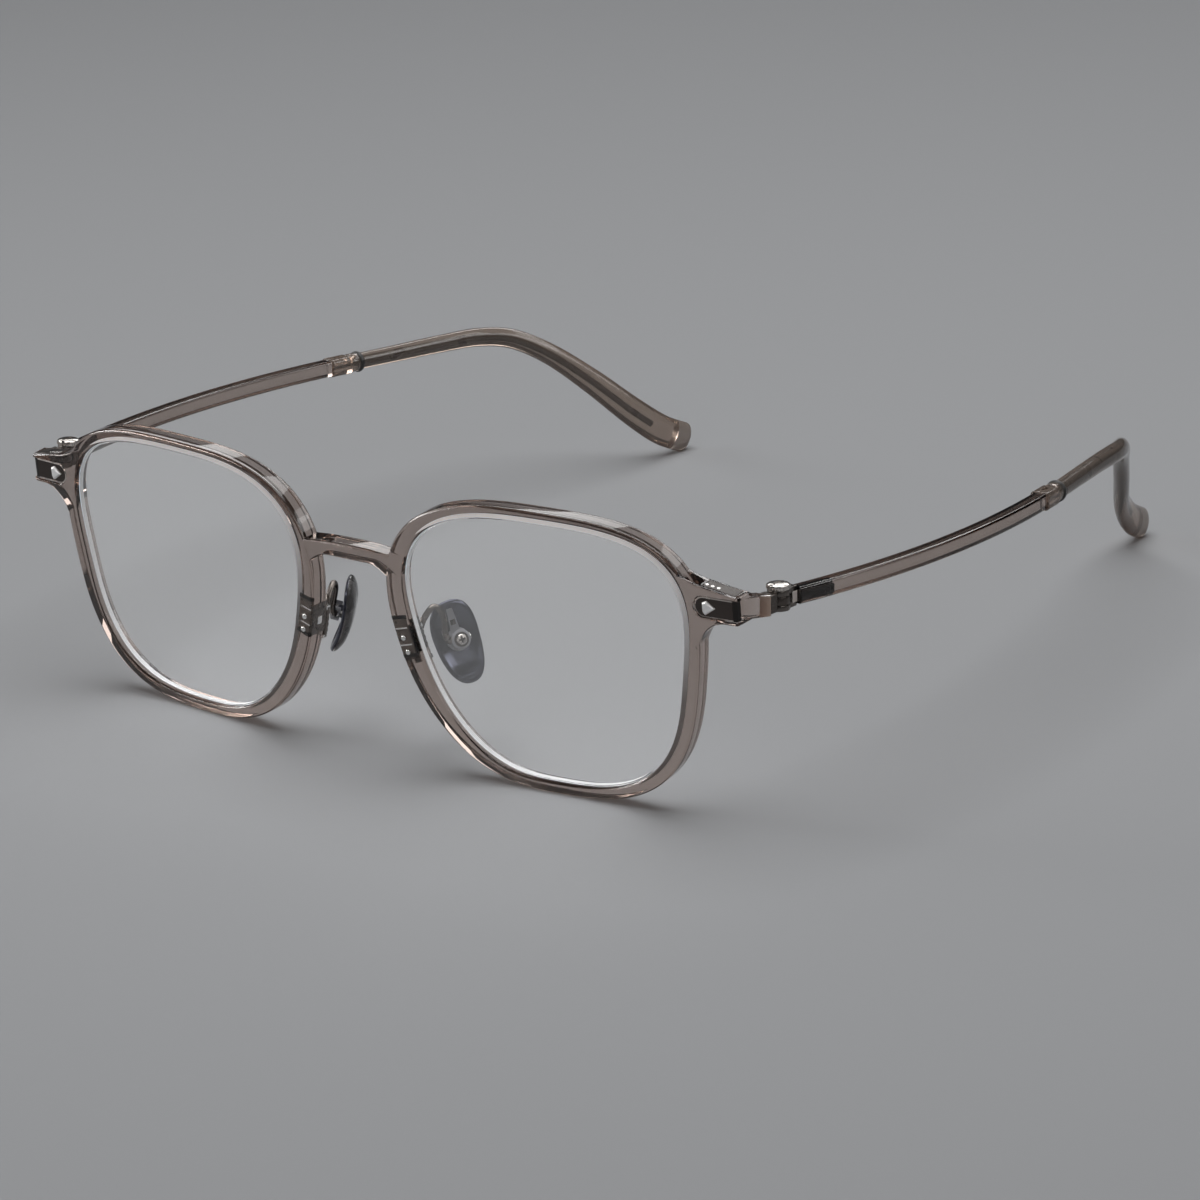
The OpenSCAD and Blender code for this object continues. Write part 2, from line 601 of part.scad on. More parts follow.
// Where the nose pads stand; in a pad's own frame -X faces the nose, Y runs across and Z along the pad
pad_centre = [pad_out, pad_back, lens_z - pad_below];
module at_pad() {
    translate(pad_centre) rotate([0, -pad_flare, 0]) rotate([0, 0, -pad_splay]) children();
}
function pad_pt(p) = let (x = p.x * cos(pad_splay) + p.y * sin(pad_splay),
    y = p.y * cos(pad_splay) - p.x * sin(pad_splay))
    pad_centre + [x * cos(pad_flare) - p.z * sin(pad_flare), y, p.z * cos(pad_flare) + x * sin(pad_flare)];
pin_x = 1.8;
pin_z = 0.4;
pin_r = 0.42;
box_inner = 1.9;
box_wall = 0.45;
box_h = 2.6;
box_back = pin_x + 1.4;
box_front = pin_x - 0.55;
box_side = box_inner / 2 + box_wall;

// Wire arm in an upright loop: from the bracket up, over and down to the pad box
arm_foot = rim_pt(clip_top + 8.5, 2, rim_depth + clip_back_t + 0.02);
arm_start = front_pt(arm_foot);
arm_out = front_pt(arm_foot + [0, 1, 0.2]);
arm_end = pad_pt([pin_x + 0.3, -box_side - 0.02, pin_z + 0.4]);
arm_in = unit(pad_pt([0, 1, 0]) - pad_pt([0, 0, 0]));
front_back = unit(front_pt([0, 1, 0]) - front_pt([0, 0, 0]));
arm_high = lens_z + 1.9;
arm_line = [arm_start, arm_out, [mix(arm_out.x, arm_end.x, 0.1), arm_out.y + 0.7, arm_high - 1.4],
    [mix(arm_out.x, arm_end.x, 0.3), mix(arm_out.y + 0.7, arm_end.y, 0.5), arm_high],
    [mix(arm_out.x, arm_end.x, 0.6), arm_end.y - 0.6, arm_high - 1.4],
    [arm_end.x - 0.4, arm_end.y - 0.9, mix(arm_high - 1.4, arm_end.z, 0.7)],
    arm_end - arm_in * 0.5, arm_end];
arm_last = len(arm_line) - 1;
function arm_ring(s) = oval(curve(arm_line, s),
    s == 0 ? front_back : s > arm_last - 0.9 ? arm_in : curve_dir(arm_line, s),
    [1, 0, 0], arm_d / 2, arm_d / 2, 8);
module pad_arm(side) {
    color(metal) place(side) skin([for (s = [0, 1, 1.5, 2, 2.5, 3, 3.5, 4, 4.5, 5, 5.5, 6, 7]) arm_ring(s)]);
}

// Open box on the end of the arm
module pad_box(side) {
    color(metal) place(side) at_pad() difference() {
        translate([box_front, -box_side, pin_z - box_h / 2]) cube([box_back - box_front, 2 * box_side, box_h]);
        translate([box_front - 1, -box_inner / 2, pin_z - box_h / 2 - 1])
            cube([box_back - box_wall - box_front + 1, box_inner, box_h + 2]);
        translate([pin_x, -5, pin_z]) rotate([-90, 0, 0]) cylinder(r = pin_r + hinge_clear, h = 10, $fn = 24);
    }
}
module pad_pin(side) {
    color("white") place(side) at_pad() {
        translate([pin_x, -box_side, pin_z]) rotate([-90, 0, 0])
            cylinder(r = pin_r, h = 2 * box_side, $fn = 24);
        translate([pin_x, box_side, pin_z]) rotate([-90, 0, 0])
            cylinder(r1 = pin_r + 0.25, r2 = pin_r, h = 0.35, $fn = 24);
    }
}

// Soft pad: an egg-shaped shell, bowed away from the nose at its ends, with a boss for the pin
pad_points = 28;
pad_bow = 0.02;
function pad_r(a) = pow(pow(abs(2 * cos(a) / pad_w), 2.5) + pow(abs(2 * sin(a) / pad_len), 2.5), -0.4);
function pad_edge(a, share) = let (z = pad_r(a) * sin(a), y = pad_r(a) * cos(a) * (1 + 0.26 * z / pad_len))
    [y * share, z * share];
function pad_ring(x, share) = [for (k = [0 : pad_points - 1])
    let (p = pad_edge(360 * k / pad_points, share)) [x + pad_bow * p.y * p.y, p.x, p.y]];
module nose_pad(side) {
    half = pad_t / 2;
    boss_w = box_inner - 0.2;
    color(silicone) place(side) at_pad() difference() {
        union() {
            domed_skin([pad_ring(-half, 0.45), pad_ring(-half * 0.8, 0.75), pad_ring(-half * 0.3, 0.95),
                pad_ring(half * 0.2, 1), pad_ring(half * 0.6, 0.96), pad_ring(half * 0.8, 0.86),
                pad_ring(half * 0.8, 0.4)],
                [-half * 1.05, 0, 0], [half * 0.8, 0, 0]);
            translate([0, -boss_w / 2, pin_z - 0.9]) cube([pin_x, boss_w, 1.8]);
            translate([pin_x, -boss_w / 2, pin_z]) rotate([-90, 0, 0]) cylinder(r = 0.8, h = boss_w, $fn = 32);
        }
        translate([pin_x, -5, pin_z]) rotate([-90, 0, 0]) cylinder(r = pin_r + hinge_clear, h = 10, $fn = 24);
    }
}

front_frame();
lens(1);  // lens_left
lens(-1);  // lens_right
end_plate(1);  // end_plate_left
end_plate(-1);  // end_plate_right
end_rivet(1);  // end_rivet_left
end_rivet(-1);  // end_rivet_right
end_insert(1);  // end_insert_left
end_insert(-1);  // end_insert_right
front_hinge(1);  // front_hinge_left
front_hinge(-1);  // front_hinge_right
rear_hinge(1);  // rear_hinge_left
rear_hinge(-1);  // rear_hinge_right
hinge_screw(1);  // hinge_screw_left
hinge_screw(-1);  // hinge_screw_right
temple_bar(1);  // temple_bar_left
temple_bar(-1);  // temple_bar_right
collar(1);  // collar_left
collar(-1);  // collar_right
black_ring(1);  // black_ring_left
black_ring(-1);  // black_ring_right
temple_tip(1);  // temple_tip_left
temple_tip(-1);  // temple_tip_right
tip_wire(1);  // tip_wire_left
tip_wire(-1);  // tip_wire_right
tip_end(1);  // tip_end_left
tip_end(-1);  // tip_end_right
pad_clip(1);  // pad_clip_left
pad_clip(-1);  // pad_clip_right
clip_screws(1);  // clip_screws_left
clip_screws(-1);  // clip_screws_right
pad_arm(1);  // pad_arm_left
pad_arm(-1);  // pad_arm_right
pad_box(1);  // pad_box_left
pad_box(-1);  // pad_box_right
pad_pin(1);  // pad_pin_left
pad_pin(-1);  // pad_pin_right
nose_pad(1);  // nose_pad_left
nose_pad(-1);  // nose_pad_right
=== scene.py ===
# %% [markdown]
# # Square eyeglasses with a smoky moulded front
# This file dresses the solids of a pair of eyeglasses. The solids say where everything is and how it moves.
# The cells below make smoother, finer pieces in the same places and give every piece its finish.
# Sizes are written in millimetres, as an optician would, and turned into metres when a mesh is made.

# %% Load the solids
import math

import bmesh
import bpy
import numpy as np
from mathutils import Matrix, Vector


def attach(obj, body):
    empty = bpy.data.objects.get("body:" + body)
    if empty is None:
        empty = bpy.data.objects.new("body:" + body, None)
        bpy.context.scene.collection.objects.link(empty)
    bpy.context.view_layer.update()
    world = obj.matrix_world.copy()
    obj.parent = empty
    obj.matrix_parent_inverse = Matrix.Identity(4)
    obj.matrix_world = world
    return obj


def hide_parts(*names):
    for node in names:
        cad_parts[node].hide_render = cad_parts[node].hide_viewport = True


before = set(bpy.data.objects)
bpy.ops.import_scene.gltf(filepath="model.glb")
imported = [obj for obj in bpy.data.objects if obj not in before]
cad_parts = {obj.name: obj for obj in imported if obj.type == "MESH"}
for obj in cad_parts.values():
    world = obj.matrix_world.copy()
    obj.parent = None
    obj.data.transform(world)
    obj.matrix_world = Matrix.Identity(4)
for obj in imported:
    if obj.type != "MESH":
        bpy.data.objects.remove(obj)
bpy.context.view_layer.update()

MM = 0.001
SIDES = {1: "left", -1: "right"}


def placed(name, data):
    """A new object in the scene with this mesh, lamp or camera."""
    obj = bpy.data.objects.new(name, data)
    bpy.context.scene.collection.objects.link(obj)
    return obj


def both(make):
    """A piece for each side: 1 is the wearer's left and -1 the right."""
    return {side: make(side) for side in SIDES}


# %% [markdown]
# ## The camera
# The photograph is taken from the front left of the wearer and a little above, with a long lens, so the two
# temples hardly converge. The camera turns round the middle of the front and is rolled by three degrees.

# %% Camera
AZ, EL, ROLL = math.radians(38.39), math.radians(19.51), math.radians(-2.99)
DISTANCE, FOCAL_LENGTH, SENSOR = 0.9343, 180, 36
AIM_RIGHT, AIM_UP, FRONT_MIDDLE = 0.03665, 0.01902, Vector((0, -0.072351, 0.00337))
toward = Vector((math.sin(AZ) * math.cos(EL), -math.cos(AZ) * math.cos(EL), math.sin(EL)))
right = Vector((math.cos(AZ), math.sin(AZ), 0))
upward = right.cross(-toward)
rolled_right = right * math.cos(ROLL) + upward * math.sin(ROLL)
rolled_up = upward * math.cos(ROLL) - right * math.sin(ROLL)
place = toward * DISTANCE + right * AIM_RIGHT + upward * AIM_UP + FRONT_MIDDLE
turn = Matrix((rolled_right, rolled_up, toward)).transposed().to_4x4()
camera = placed("camera", bpy.data.cameras.new("camera"))
camera.data.lens = FOCAL_LENGTH
camera.data.sensor_width = SENSOR
camera.data.clip_start = 0.01
camera.matrix_world = Matrix.Translation(place) @ turn
bpy.context.scene.camera = camera
print("camera at", [round(x, 3) for x in place])

# %% [markdown]
# ## Measures of the front
# The lens outline is a squared ellipse that grows wider towards the brow. Everything on the front is placed
# by an angle on this outline, a distance outwards from it and a depth behind the front face, so one small set
# of functions carries the rims, the lenses and the brackets.

# %% Lens outline and the lens plane
LENS_W, LENS_H, LENS_GAP = 48.1, 42.5, 21.5
SQUARENESS, OUTER_SQUARENESS, UPPER_SQUARENESS = 2.87, 0.3, 0.08
FLARE_OUTER, FLARE_NASAL = 0.13, 0.21
RIM_DEPTH, RIM_FACE, RIM_OUTER, RIM_NASAL = 3.4, 1.9, 0.85, 1.6
WRAP, TILT = math.radians(5.5), math.radians(3.3)
GROOVE_B, GROOVE_HALF, BEVEL, SEAT = 1.5, 0.75, 0.55, 0.05
DEPTH_MIDDLE, FOOT_FLAT = 72.351, 0.1


def mix(a, b, f):
    return a + (b - a) * f


def unit(v):
    return np.asarray(v, float) / np.linalg.norm(v)


def outline(a):
    """Points of the lens outline, outwards and upwards, for angles a in degrees from the temple side."""
    a = np.asarray(a, float)
    c, s = np.cos(np.radians(a)), np.sin(np.radians(a))
    n = SQUARENESS + OUTER_SQUARENESS * c + UPPER_SQUARENESS * s
    r = (np.abs(2 * c / LENS_W) ** n + np.abs(2 * s / LENS_H) ** n) ** (-1 / n)
    flare = mix(FLARE_NASAL, FLARE_OUTER, 0.5 + 0.5 * c)
    return np.stack([r * c * (1 + flare * r * s * 2 / LENS_H), r * s], -1)


def outline_normal(a):
    a = np.asarray(a, float)
    d = outline(a + 0.5) - outline(a - 0.5)
    n = np.stack([d[..., 1], -d[..., 0]], -1)
    return n / np.linalg.norm(n, axis=-1, keepdims=True)


def rim_width(a):
    c = np.cos(np.radians(np.asarray(a, float)))
    return RIM_FACE + RIM_OUTER * np.maximum(c, 0) ** 3 + RIM_NASAL * np.maximum(-c, 0) ** 3


steps72 = np.arange(72) * 5.0
LENS_X = LENS_GAP / 2 - outline(steps72)[:, 0].min() * math.cos(WRAP)
edge72 = outline(steps72) + outline_normal(steps72) * rim_width(steps72)[:, None]
LENS_Z = -edge72[:, 1].min() * math.cos(TILT) - FOOT_FLAT


def front_point(u, b, v):
    """From the lens plane (outwards u, backwards b, upwards v) to the object's own millimetres, left side."""
    back = b * math.cos(TILT) - v * math.sin(TILT)
    return np.stack(np.broadcast_arrays(
        LENS_X + u * math.cos(WRAP) - back * math.sin(WRAP),
        u * math.sin(WRAP) + back * math.cos(WRAP) - DEPTH_MIDDLE,
        LENS_Z + b * math.sin(TILT) + v * math.cos(TILT)), -1)


def at_depth(line, b):
    """A line drawn in the lens plane, moved back to depth b."""
    return front_point(line[:, 0], b, line[:, 1])


def rim_point(a, n, b):
    """Point at angle a, n outwards from the lens opening and b behind the front."""
    p = outline(a) + outline_normal(a) * np.asarray(n, float)[..., None]
    return front_point(p[..., 0], np.asarray(b, float), p[..., 1])


print("lens centre", round(LENS_X, 3), round(LENS_Z, 3))

# %% [markdown]
# ## From points to a mesh
# Most pieces are skins over rings of points: a loop of rings for a rim, a run of rings with closed ends for a
# bar. The right half is the left half mirrored, and a mirrored face is turned round to keep facing out.

# %% Mesh helpers
SNAP = 1e-7


def from_bmesh(name, bm):
    mesh = bpy.data.meshes.new(name)
    bm.to_mesh(mesh)
    bm.free()
    return placed(name, mesh)


def facing_out(mesh, snap=None):
    """Turns a mesh's faces outwards, and first melts points that lie on each other if asked to."""
    bm = bmesh.new()
    bm.from_mesh(mesh)
    if snap:
        bmesh.ops.remove_doubles(bm, verts=bm.verts, dist=snap)
    bmesh.ops.recalc_face_normals(bm, faces=bm.faces)
    bm.to_mesh(mesh)
    bm.free()
    return mesh


def new_mesh(name, verts, faces, side=1):
    """A mesh object from points in millimetres; side -1 mirrors it to the wearer's right."""
    verts = np.asarray(verts, float).reshape(-1, 3) * MM
    if side < 0:
        verts = verts * [-1, 1, 1]
    mesh = bpy.data.meshes.new(name)
    mesh.from_pydata([tuple(v) for v in verts], [], faces)
    mesh.validate()
    return placed(name, facing_out(mesh, SNAP))


def skin(name, rings, side=1, closed=False):
    """Skin over an array of rings, (rings, points, 3). An open run gets flat ends."""
    rings = np.asarray(rings, float)
    m, n = rings.shape[:2]
    faces = []
    for i in range(m if closed else m - 1):
        j = (i + 1) % m
        for k in range(n):
            after = (k + 1) % n
            faces.append((i * n + k, j * n + k, j * n + after, i * n + after))
    if not closed:
        faces += [tuple(range(n)), tuple(range((m - 1) * n, m * n))]
    return new_mesh(name, rings, faces, side)


def rounded(corners, radii, steps=4):
    """A closed outline with rounded corners, the same number of points at every rounded corner."""
    out = []
    for i, (corner, radius) in enumerate(zip(corners, radii)):
        p = np.array(corner, float)
        if radius == 0:
            out.append(p)
            continue
        a = unit(np.array(corners[i - 1], float) - p)
        b = unit(np.array(corners[(i + 1) % len(corners)], float) - p)
        half = math.acos(np.clip(a @ b, -1, 1)) / 2
        reach = radius / math.tan(half)
        centre = p + (a + b) / np.linalg.norm(a + b) * radius / math.sin(half)
        start, stop = p + a * reach - centre, p + b * reach - centre
        angle = math.acos(np.clip(start @ stop / radius**2, -1, 1))
        for f in np.arange(steps + 1) / steps:
            part = math.sin((1 - f) * angle) * start + math.sin(f * angle) * stop
            out.append(centre + part / math.sin(angle))
    return np.array(out)


def settled(obj):
    """Turns an object's modifiers into its plain mesh."""
    bpy.context.view_layer.update()
    result = bpy.data.meshes.new_from_object(obj.evaluated_get(bpy.context.evaluated_depsgraph_get()))
    obj.modifiers.clear()
    before, obj.data = obj.data, result
    bpy.data.meshes.remove(before)
    return obj


def smooth(obj, angle=30):
    """Smooth shading that keeps real edges crisp; large faces weigh most, so that flat faces stay flat."""
    obj.data.polygons.foreach_set("use_smooth", [True] * len(obj.data.polygons))
    obj.data.set_sharp_from_angle(angle=math.radians(angle))
    modifier = obj.modifiers.new("weight", "WEIGHTED_NORMAL")
    modifier.keep_sharp = True
    return settled(obj)


def cut(obj, other, how="DIFFERENCE"):
    """Boolean of two meshes, applied; the other one is used up."""
    modifier = obj.modifiers.new("cut", "BOOLEAN")
    modifier.operation = how
    modifier.object = other
    modifier.solver = "MANIFOLD"
    settled(obj)
    bpy.data.objects.remove(other)
    return obj


def unite(obj, *others):
    for other in others:
        cut(obj, other, "UNION")
    return obj


def above_table(obj):
    """Flattens what would reach into the table."""
    for vert in obj.data.vertices:
        vert.co.z = max(vert.co.z, 0.0)
    return obj


def paint(obj, index):
    """Sets which finish in its list an object's faces take: one for all, or a function of the face."""
    for face in obj.data.polygons:
        face.material_index = index(face) if callable(index) else index
    return obj


# %% [markdown]
# ## The moulded front
# The real front is one injection moulding: two rims, the bridge, the end pieces and two short arms back to
# the hinges. Light runs through it and bends at every edge, so the edges are what one sees. Each part is made
# with properly rounded edges first, and the parts are then joined into one closed skin with nothing inside.
# The rim's section has a V groove on its inner side, where the lens sits.

# %% Rims
RIM_ANGLES = np.arange(0, 360, 1.5)
RIM_CORNERS = [0.45, 0.55, 0.6, 0.45, 0, 0, 0]


def rim(side):
    rings = []
    for a in RIM_ANGLES:
        w = float(rim_width(a))
        corners = [(0, 0), (w, 0), (w, RIM_DEPTH), (0, RIM_DEPTH), (0, GROOVE_B + GROOVE_HALF),
                   (BEVEL + SEAT, GROOVE_B), (0, GROOVE_B - GROOVE_HALF)]
        section = rounded(corners, RIM_CORNERS, 5)
        rings.append(rim_point(np.full(len(section), a), section[:, 0], section[:, 1]))
    return skin("rim", rings, side, closed=True)


print("rim: a ring of points at", len(RIM_ANGLES), "angles")

# %% [markdown]
# The end piece carries the hinge. Its outline is drawn in the lens plane, with hollow roots that run out into
# the rim, and the layers behind it are the same outline drawn in a little, which rounds the edges.

# %% End pieces
END_REACH, END_H, END_RISE, POCKET_H, PLATE_T = 35.3, 4.7, 12.1, 3.4, 0.5
END_TOP, END_LOW = END_RISE + END_H / 2, END_RISE - END_H / 2
POCKET_FROM, POCKET_DEEP = END_REACH - 8.3, PLATE_T + 0.1 + SEAT
TOP_RUN, TOP_FALL, TOP_OUTER = 6.4, 0.95, (END_REACH - 0.9, END_TOP)
END_CORNER, END_EDGE, SKIN_GAP = 0.6, 0.4, 0.003


def bend(p0, p1, p2, n):
    f = np.linspace(0, 1, n + 1)[:, None]
    p0, p1, p2 = (np.array(p, float) for p in (p0, p1, p2))
    return mix(mix(p0, p1, f), mix(p1, p2, f), f)


def arc(centre, r, a0, a1, n):
    a = np.radians(np.linspace(a0, a1, n + 1))
    return np.stack([centre[0] + r * np.cos(a), centre[1] + r * np.sin(a)], -1)


def circle(u, v, r, count=64):
    return arc((u, v), r, 0, 360 - 360 / count, count - 1)


def face_point(a, share, off=0.0):
    """Point on the rim's face: a share of the way across it, less a distance."""
    return outline(a) + outline_normal(a) * (float(rim_width(a)) * share - off)


def end_outline():
    """Outline of the end piece in the lens plane, with the concave roots into the rim, anticlockwise."""
    r, outer_u = END_CORNER, END_REACH + 0.1 - END_CORNER
    inner = [face_point(a, 0.5) for a in np.arange(13, 38, 3)]
    top_inner = np.array([END_REACH - TOP_RUN, END_TOP + TOP_FALL])
    top = bend(face_point(37.0, 1, 0.3), top_inner + [-2, 0.2], top_inner, 24)
    straight = np.linspace(top[-1], TOP_OUTER, 5)[1:]
    outer = arc((outer_u, END_TOP - r), r, 80, 0, 6)
    under = arc((outer_u, END_LOW + r), r, 0, -90, 6)
    root = bend((END_REACH - 2.6, END_LOW), (END_REACH - 6.7, END_LOW + 0.1), face_point(12.0, 1, 0.3), 24)
    return np.concatenate([inner, top, straight, outer, under, root])[::-1]


def inset(line, d):
    """A closed anticlockwise line moved inwards by d."""
    along = np.roll(line, -1, 0) - np.roll(line, 1, 0)
    n = np.stack([-along[:, 1], along[:, 0]], -1)
    return line + n / np.linalg.norm(n, axis=1, keepdims=True) * d


def end_piece(side):
    edge = [(END_EDGE * (1 - math.cos(t)), END_EDGE * (1 - math.sin(t))) for t in np.radians([0, 22, 45, 68, 90])]
    layers = edge + [(b, 0) for b in (0.7, 0.9, 1.1, 1.6, 2.3)] + [(RIM_DEPTH - b, d) for b, d in edge[::-1]]
    turn_from = END_REACH - 4
    reaches = [END_REACH - 1.0, END_REACH - 0.6, END_REACH - 0.4, END_REACH]
    rings = []
    for b, d in layers:
        line = inset(end_outline(), d)
        reach = np.interp(b, [0, 0.35, 1.1, RIM_DEPTH], reaches)
        far = line[:, 0] > turn_from
        share = (reach - turn_from) / (line[:, 0].max() - turn_from)
        line[far, 0] = turn_from + (line[far, 0] - turn_from) * share
        rings.append(at_depth(line, mix(SKIN_GAP, RIM_DEPTH - SKIN_GAP, b / RIM_DEPTH)))
    return skin("end_piece", rings, side)


def prism(name, plan, z0, z1, side):
    """Plan points (u, b) in the lens plane between two heights."""
    plan = np.asarray(plan, float)
    return skin(name, [front_point(plan[:, 0], plan[:, 1], z) for z in (z0, z1)], side)


def disc(name, u, v, r, b0, b1, side):
    """Round bar square to the lens plane."""
    return skin(name, [at_depth(circle(u, v, r), b) for b in (b0, b1)], side)


def end_plan(d):
    """Plan of the outer corner, d below the surface."""
    return [(END_REACH - 1.0 - 0.5 * d, d), (END_REACH - 0.6 - 0.9 * d, 0.35 + 0.45 * d),
            (END_REACH - 0.4 - d, 1.15)]


print("end piece:", len(end_outline()), "points in its outline")

# %% [markdown]
# The pocket for the dark plate starts round and runs off the outer end. It is cut with two plain tools, as a
# miller would: a round one for the blind end and a straight one that turns the corner. A wider pair of tools
# eases the pocket's edge. The bridge is a bar whose ends swell into the rims.

# %% Pocket, arms and bridge
HINGE = front_point(END_REACH, 0.0, END_RISE) + [0.1, 9.3, -0.5]
SLOPE = math.radians(3.79737)
HINGE_H, KNUCKLE_R = 3.2, 1.75
TURNED_PART = 1.25
BRIDGE_H, BRIDGE_RISE, BRIDGE_EDGE = 2.5, 11.3, 0.5
BRIDGE_HALF = LENS_GAP / 2 - RIM_FACE - RIM_NASAL + 1.7


def hinge_point(x, y, z):
    """From the hinge's own axes, which lean with the temple, to the object's millimetres."""
    return np.stack(np.broadcast_arrays(
        HINGE[0] + x, HINGE[1] + y * math.cos(SLOPE) + z * math.sin(SLOPE),
        HINGE[2] - y * math.sin(SLOPE) + z * math.cos(SLOPE)), -1)


def box_corners(x, y, z):
    return np.array([(a, b, c) for a in x for b in y for c in z], float)


def hull_of(name, points, side=1, edge=0.0):
    """Convex skin round some points in millimetres, with its edges rounded."""
    bm = bmesh.new()
    for p in points:
        bm.verts.new(Vector(p) * MM)
    made = bmesh.ops.convex_hull(bm, input=bm.verts)
    inside = [g for g in made["geom_interior"] if isinstance(g, bmesh.types.BMVert)]
    bmesh.ops.delete(bm, geom=inside, context="VERTS")
    bmesh.ops.dissolve_limit(bm, angle_limit=math.radians(1), verts=bm.verts, edges=bm.edges)
    if edge:
        bmesh.ops.bevel(bm, geom=bm.edges[:], offset=edge * MM, segments=4, profile=0.5, affect="EDGES")
    if side < 0:
        bmesh.ops.scale(bm, vec=(-1, 1, 1), verts=bm.verts)
    bmesh.ops.recalc_face_normals(bm, faces=bm.faces)
    return from_bmesh(name, bm)


def tongue(side):
    """The short arm from the end piece back to the hinge."""
    gap, half = KNUCKLE_R + 1.9, POCKET_H / 2 - 0.1
    rear = box_corners((-1.3, 1.3), (-gap - 0.2, -gap), (-HINGE_H / 2, HINGE_H / 2))
    near = box_corners((END_REACH - POCKET_DEEP - 3, END_REACH - 0.35), (1.45, 3.0),
                       (END_RISE - half, END_RISE + half))
    return hull_of("tongue", [*hinge_point(*rear.T), *front_point(*near.T)], side, 0.1)


def cut_pocket(obj, side):
    r, far = POCKET_H / 2, END_REACH + 2
    middle = POCKET_FROM + r
    obj = cut(obj, disc("pocket_round", middle, END_RISE, r, -1, POCKET_DEEP, side))
    eased = [(-1, 0.26), (0.0, 0.2), (0.08, 0.08), (0.2, 0.0)]
    obj = cut(obj, skin("pocket_edge", [at_depth(circle(middle, END_RISE, r + e), b) for b, e in eased], side))
    run = [front_point(np.array([middle, far, far, middle]), b,
                       END_RISE + np.array([-r - e, -r - e, r + e, r + e])) for b, e in eased]
    obj = cut(obj, skin("pocket_run_edge", run, side))
    plan = [(far, -1), (middle, -1), (middle, POCKET_DEEP), *end_plan(POCKET_DEEP),
            (END_REACH - POCKET_DEEP, TURNED_PART), (far, TURNED_PART)]
    return cut(obj, prism("pocket_run", plan, END_RISE - r, END_RISE + r, side))


def bridge():
    nasal = outline(steps72)[:, 0].min() - RIM_FACE - RIM_NASAL
    face_y = front_point(nasal, 0.0, BRIDGE_RISE)[1] + 0.2
    rings = []
    for f in np.linspace(-1, 1, 81):
        x = math.copysign(1 - (1 - abs(f)) ** 1.3, f) * (BRIDGE_HALF + 0.4)
        out = max(0.0, abs(x) - BRIDGE_HALF + 5)
        low, high = -BRIDGE_H / 2 - 0.115 * out * out, BRIDGE_H / 2 - 0.005 * x * x
        b, v = rounded([(0, low), (RIM_DEPTH, low), (RIM_DEPTH, high), (0, high)], [BRIDGE_EDGE] * 4, 5).T
        rings.append(np.stack([np.full(len(b), x), face_y + b * math.cos(TILT) - v * math.sin(TILT),
                               LENS_Z + BRIDGE_RISE + b * math.sin(TILT) + v * math.cos(TILT)], -1))
    return skin("bridge", rings)


print("hinge axis at", HINGE.round(3))

# %% [markdown]
# A strip with pins is let into the top of each end piece, so a recess is cut for it. Then all parts are
# joined. Where the rims stand on the table they are flattened by a tenth of a millimetre.

# %% Insert recess and the whole front
TOP_SLOPE = math.atan(TOP_FALL / (TOP_OUTER[0] - (END_REACH - TOP_RUN)))
STRIP_ALONG, STRIP_ACROSS, STRIP_UP = (-5.9, -0.15), (0.55, 2.85), (-0.4, 0.0)


def on_top(x, y, z):
    """From the strip on the top face (x along it, y backwards, z out of it) to the object's millimetres."""
    c, s = math.cos(TOP_SLOPE), math.sin(TOP_SLOPE)
    return front_point(TOP_OUTER[0] + x * c + z * s, y, TOP_OUTER[1] - x * s + z * c)


def cut_insert(obj, side):
    x0, x1, z0, z1 = STRIP_ALONG[0] - SEAT, STRIP_ALONG[1] + SEAT, STRIP_UP[0] - SEAT, 1.0
    x, z = np.array([(x0, z0), (x1, z0), (x1, z1), (x0, z1)]).T
    rings = [on_top(x, y, z) for y in (STRIP_ACROSS[0] - SEAT, STRIP_ACROSS[1] + SEAT)]
    return cut(obj, skin("insert_recess", rings, side))


def front_half(side):
    return cut_insert(cut_pocket(unite(rim(side), end_piece(side), tongue(side)), side), side)


front = above_table(unite(front_half(1), front_half(-1), bridge()))
front.name = "front_moulding"
smooth(front, 32)
print("front moulding:", len(front.data.vertices), "points,", len(front.data.polygons), "faces")

# %% [markdown]
# ## The lenses
# A clear lens is hardly seen itself. What shows is its ground edge, a frosted bevel that lights up as a white
# line just inside the rim. So the lens has two finishes on one mesh: polished faces and a ground bevel.

# %% Lenses
LENS_T, LENS_BULGE = 1.6, 0.3
DISH = (0.04, 0.3, 0.5, 0.7, 0.85, 0.95, 1.0)


def lens(side):
    half, count = LENS_T / 2, len(RIM_ANGLES)
    edge = outline(RIM_ANGLES) + outline_normal(RIM_ANGLES) * (-0.2 - SEAT)
    rings = [at_depth(edge * share, GROOVE_B - half - LENS_BULGE * (1 - share**2)) for share in DISH]
    profile = [(0, -half + 0.2), (0, -GROOVE_HALF + 0.05), (BEVEL, 0), (0, GROOVE_HALF - 0.05), (0, half - 0.2)]
    rings += [rim_point(RIM_ANGLES, n - SEAT, GROOVE_B + b) for n, b in profile]
    rings += [at_depth(edge * share, GROOVE_B + half - LENS_BULGE * (1 - share**2)) for share in DISH[::-1]]
    obj = skin("clear_lens_" + SIDES[side], rings, side)
    middle = Vector(front_point(0.0, GROOVE_B, 0.0) * MM * (side, 1, 1))

    def is_ground(face):
        on_edge = len(DISH) * count <= face.vertices[0] < (len(DISH) + len(profile)) * count
        return int(on_edge and face.normal.angle((face.center - middle).normalized()) < 1.4)

    return smooth(paint(obj, is_ground), 25)


lenses = both(lens)
print("lens:", len(lenses[1].data.polygons), "faces")
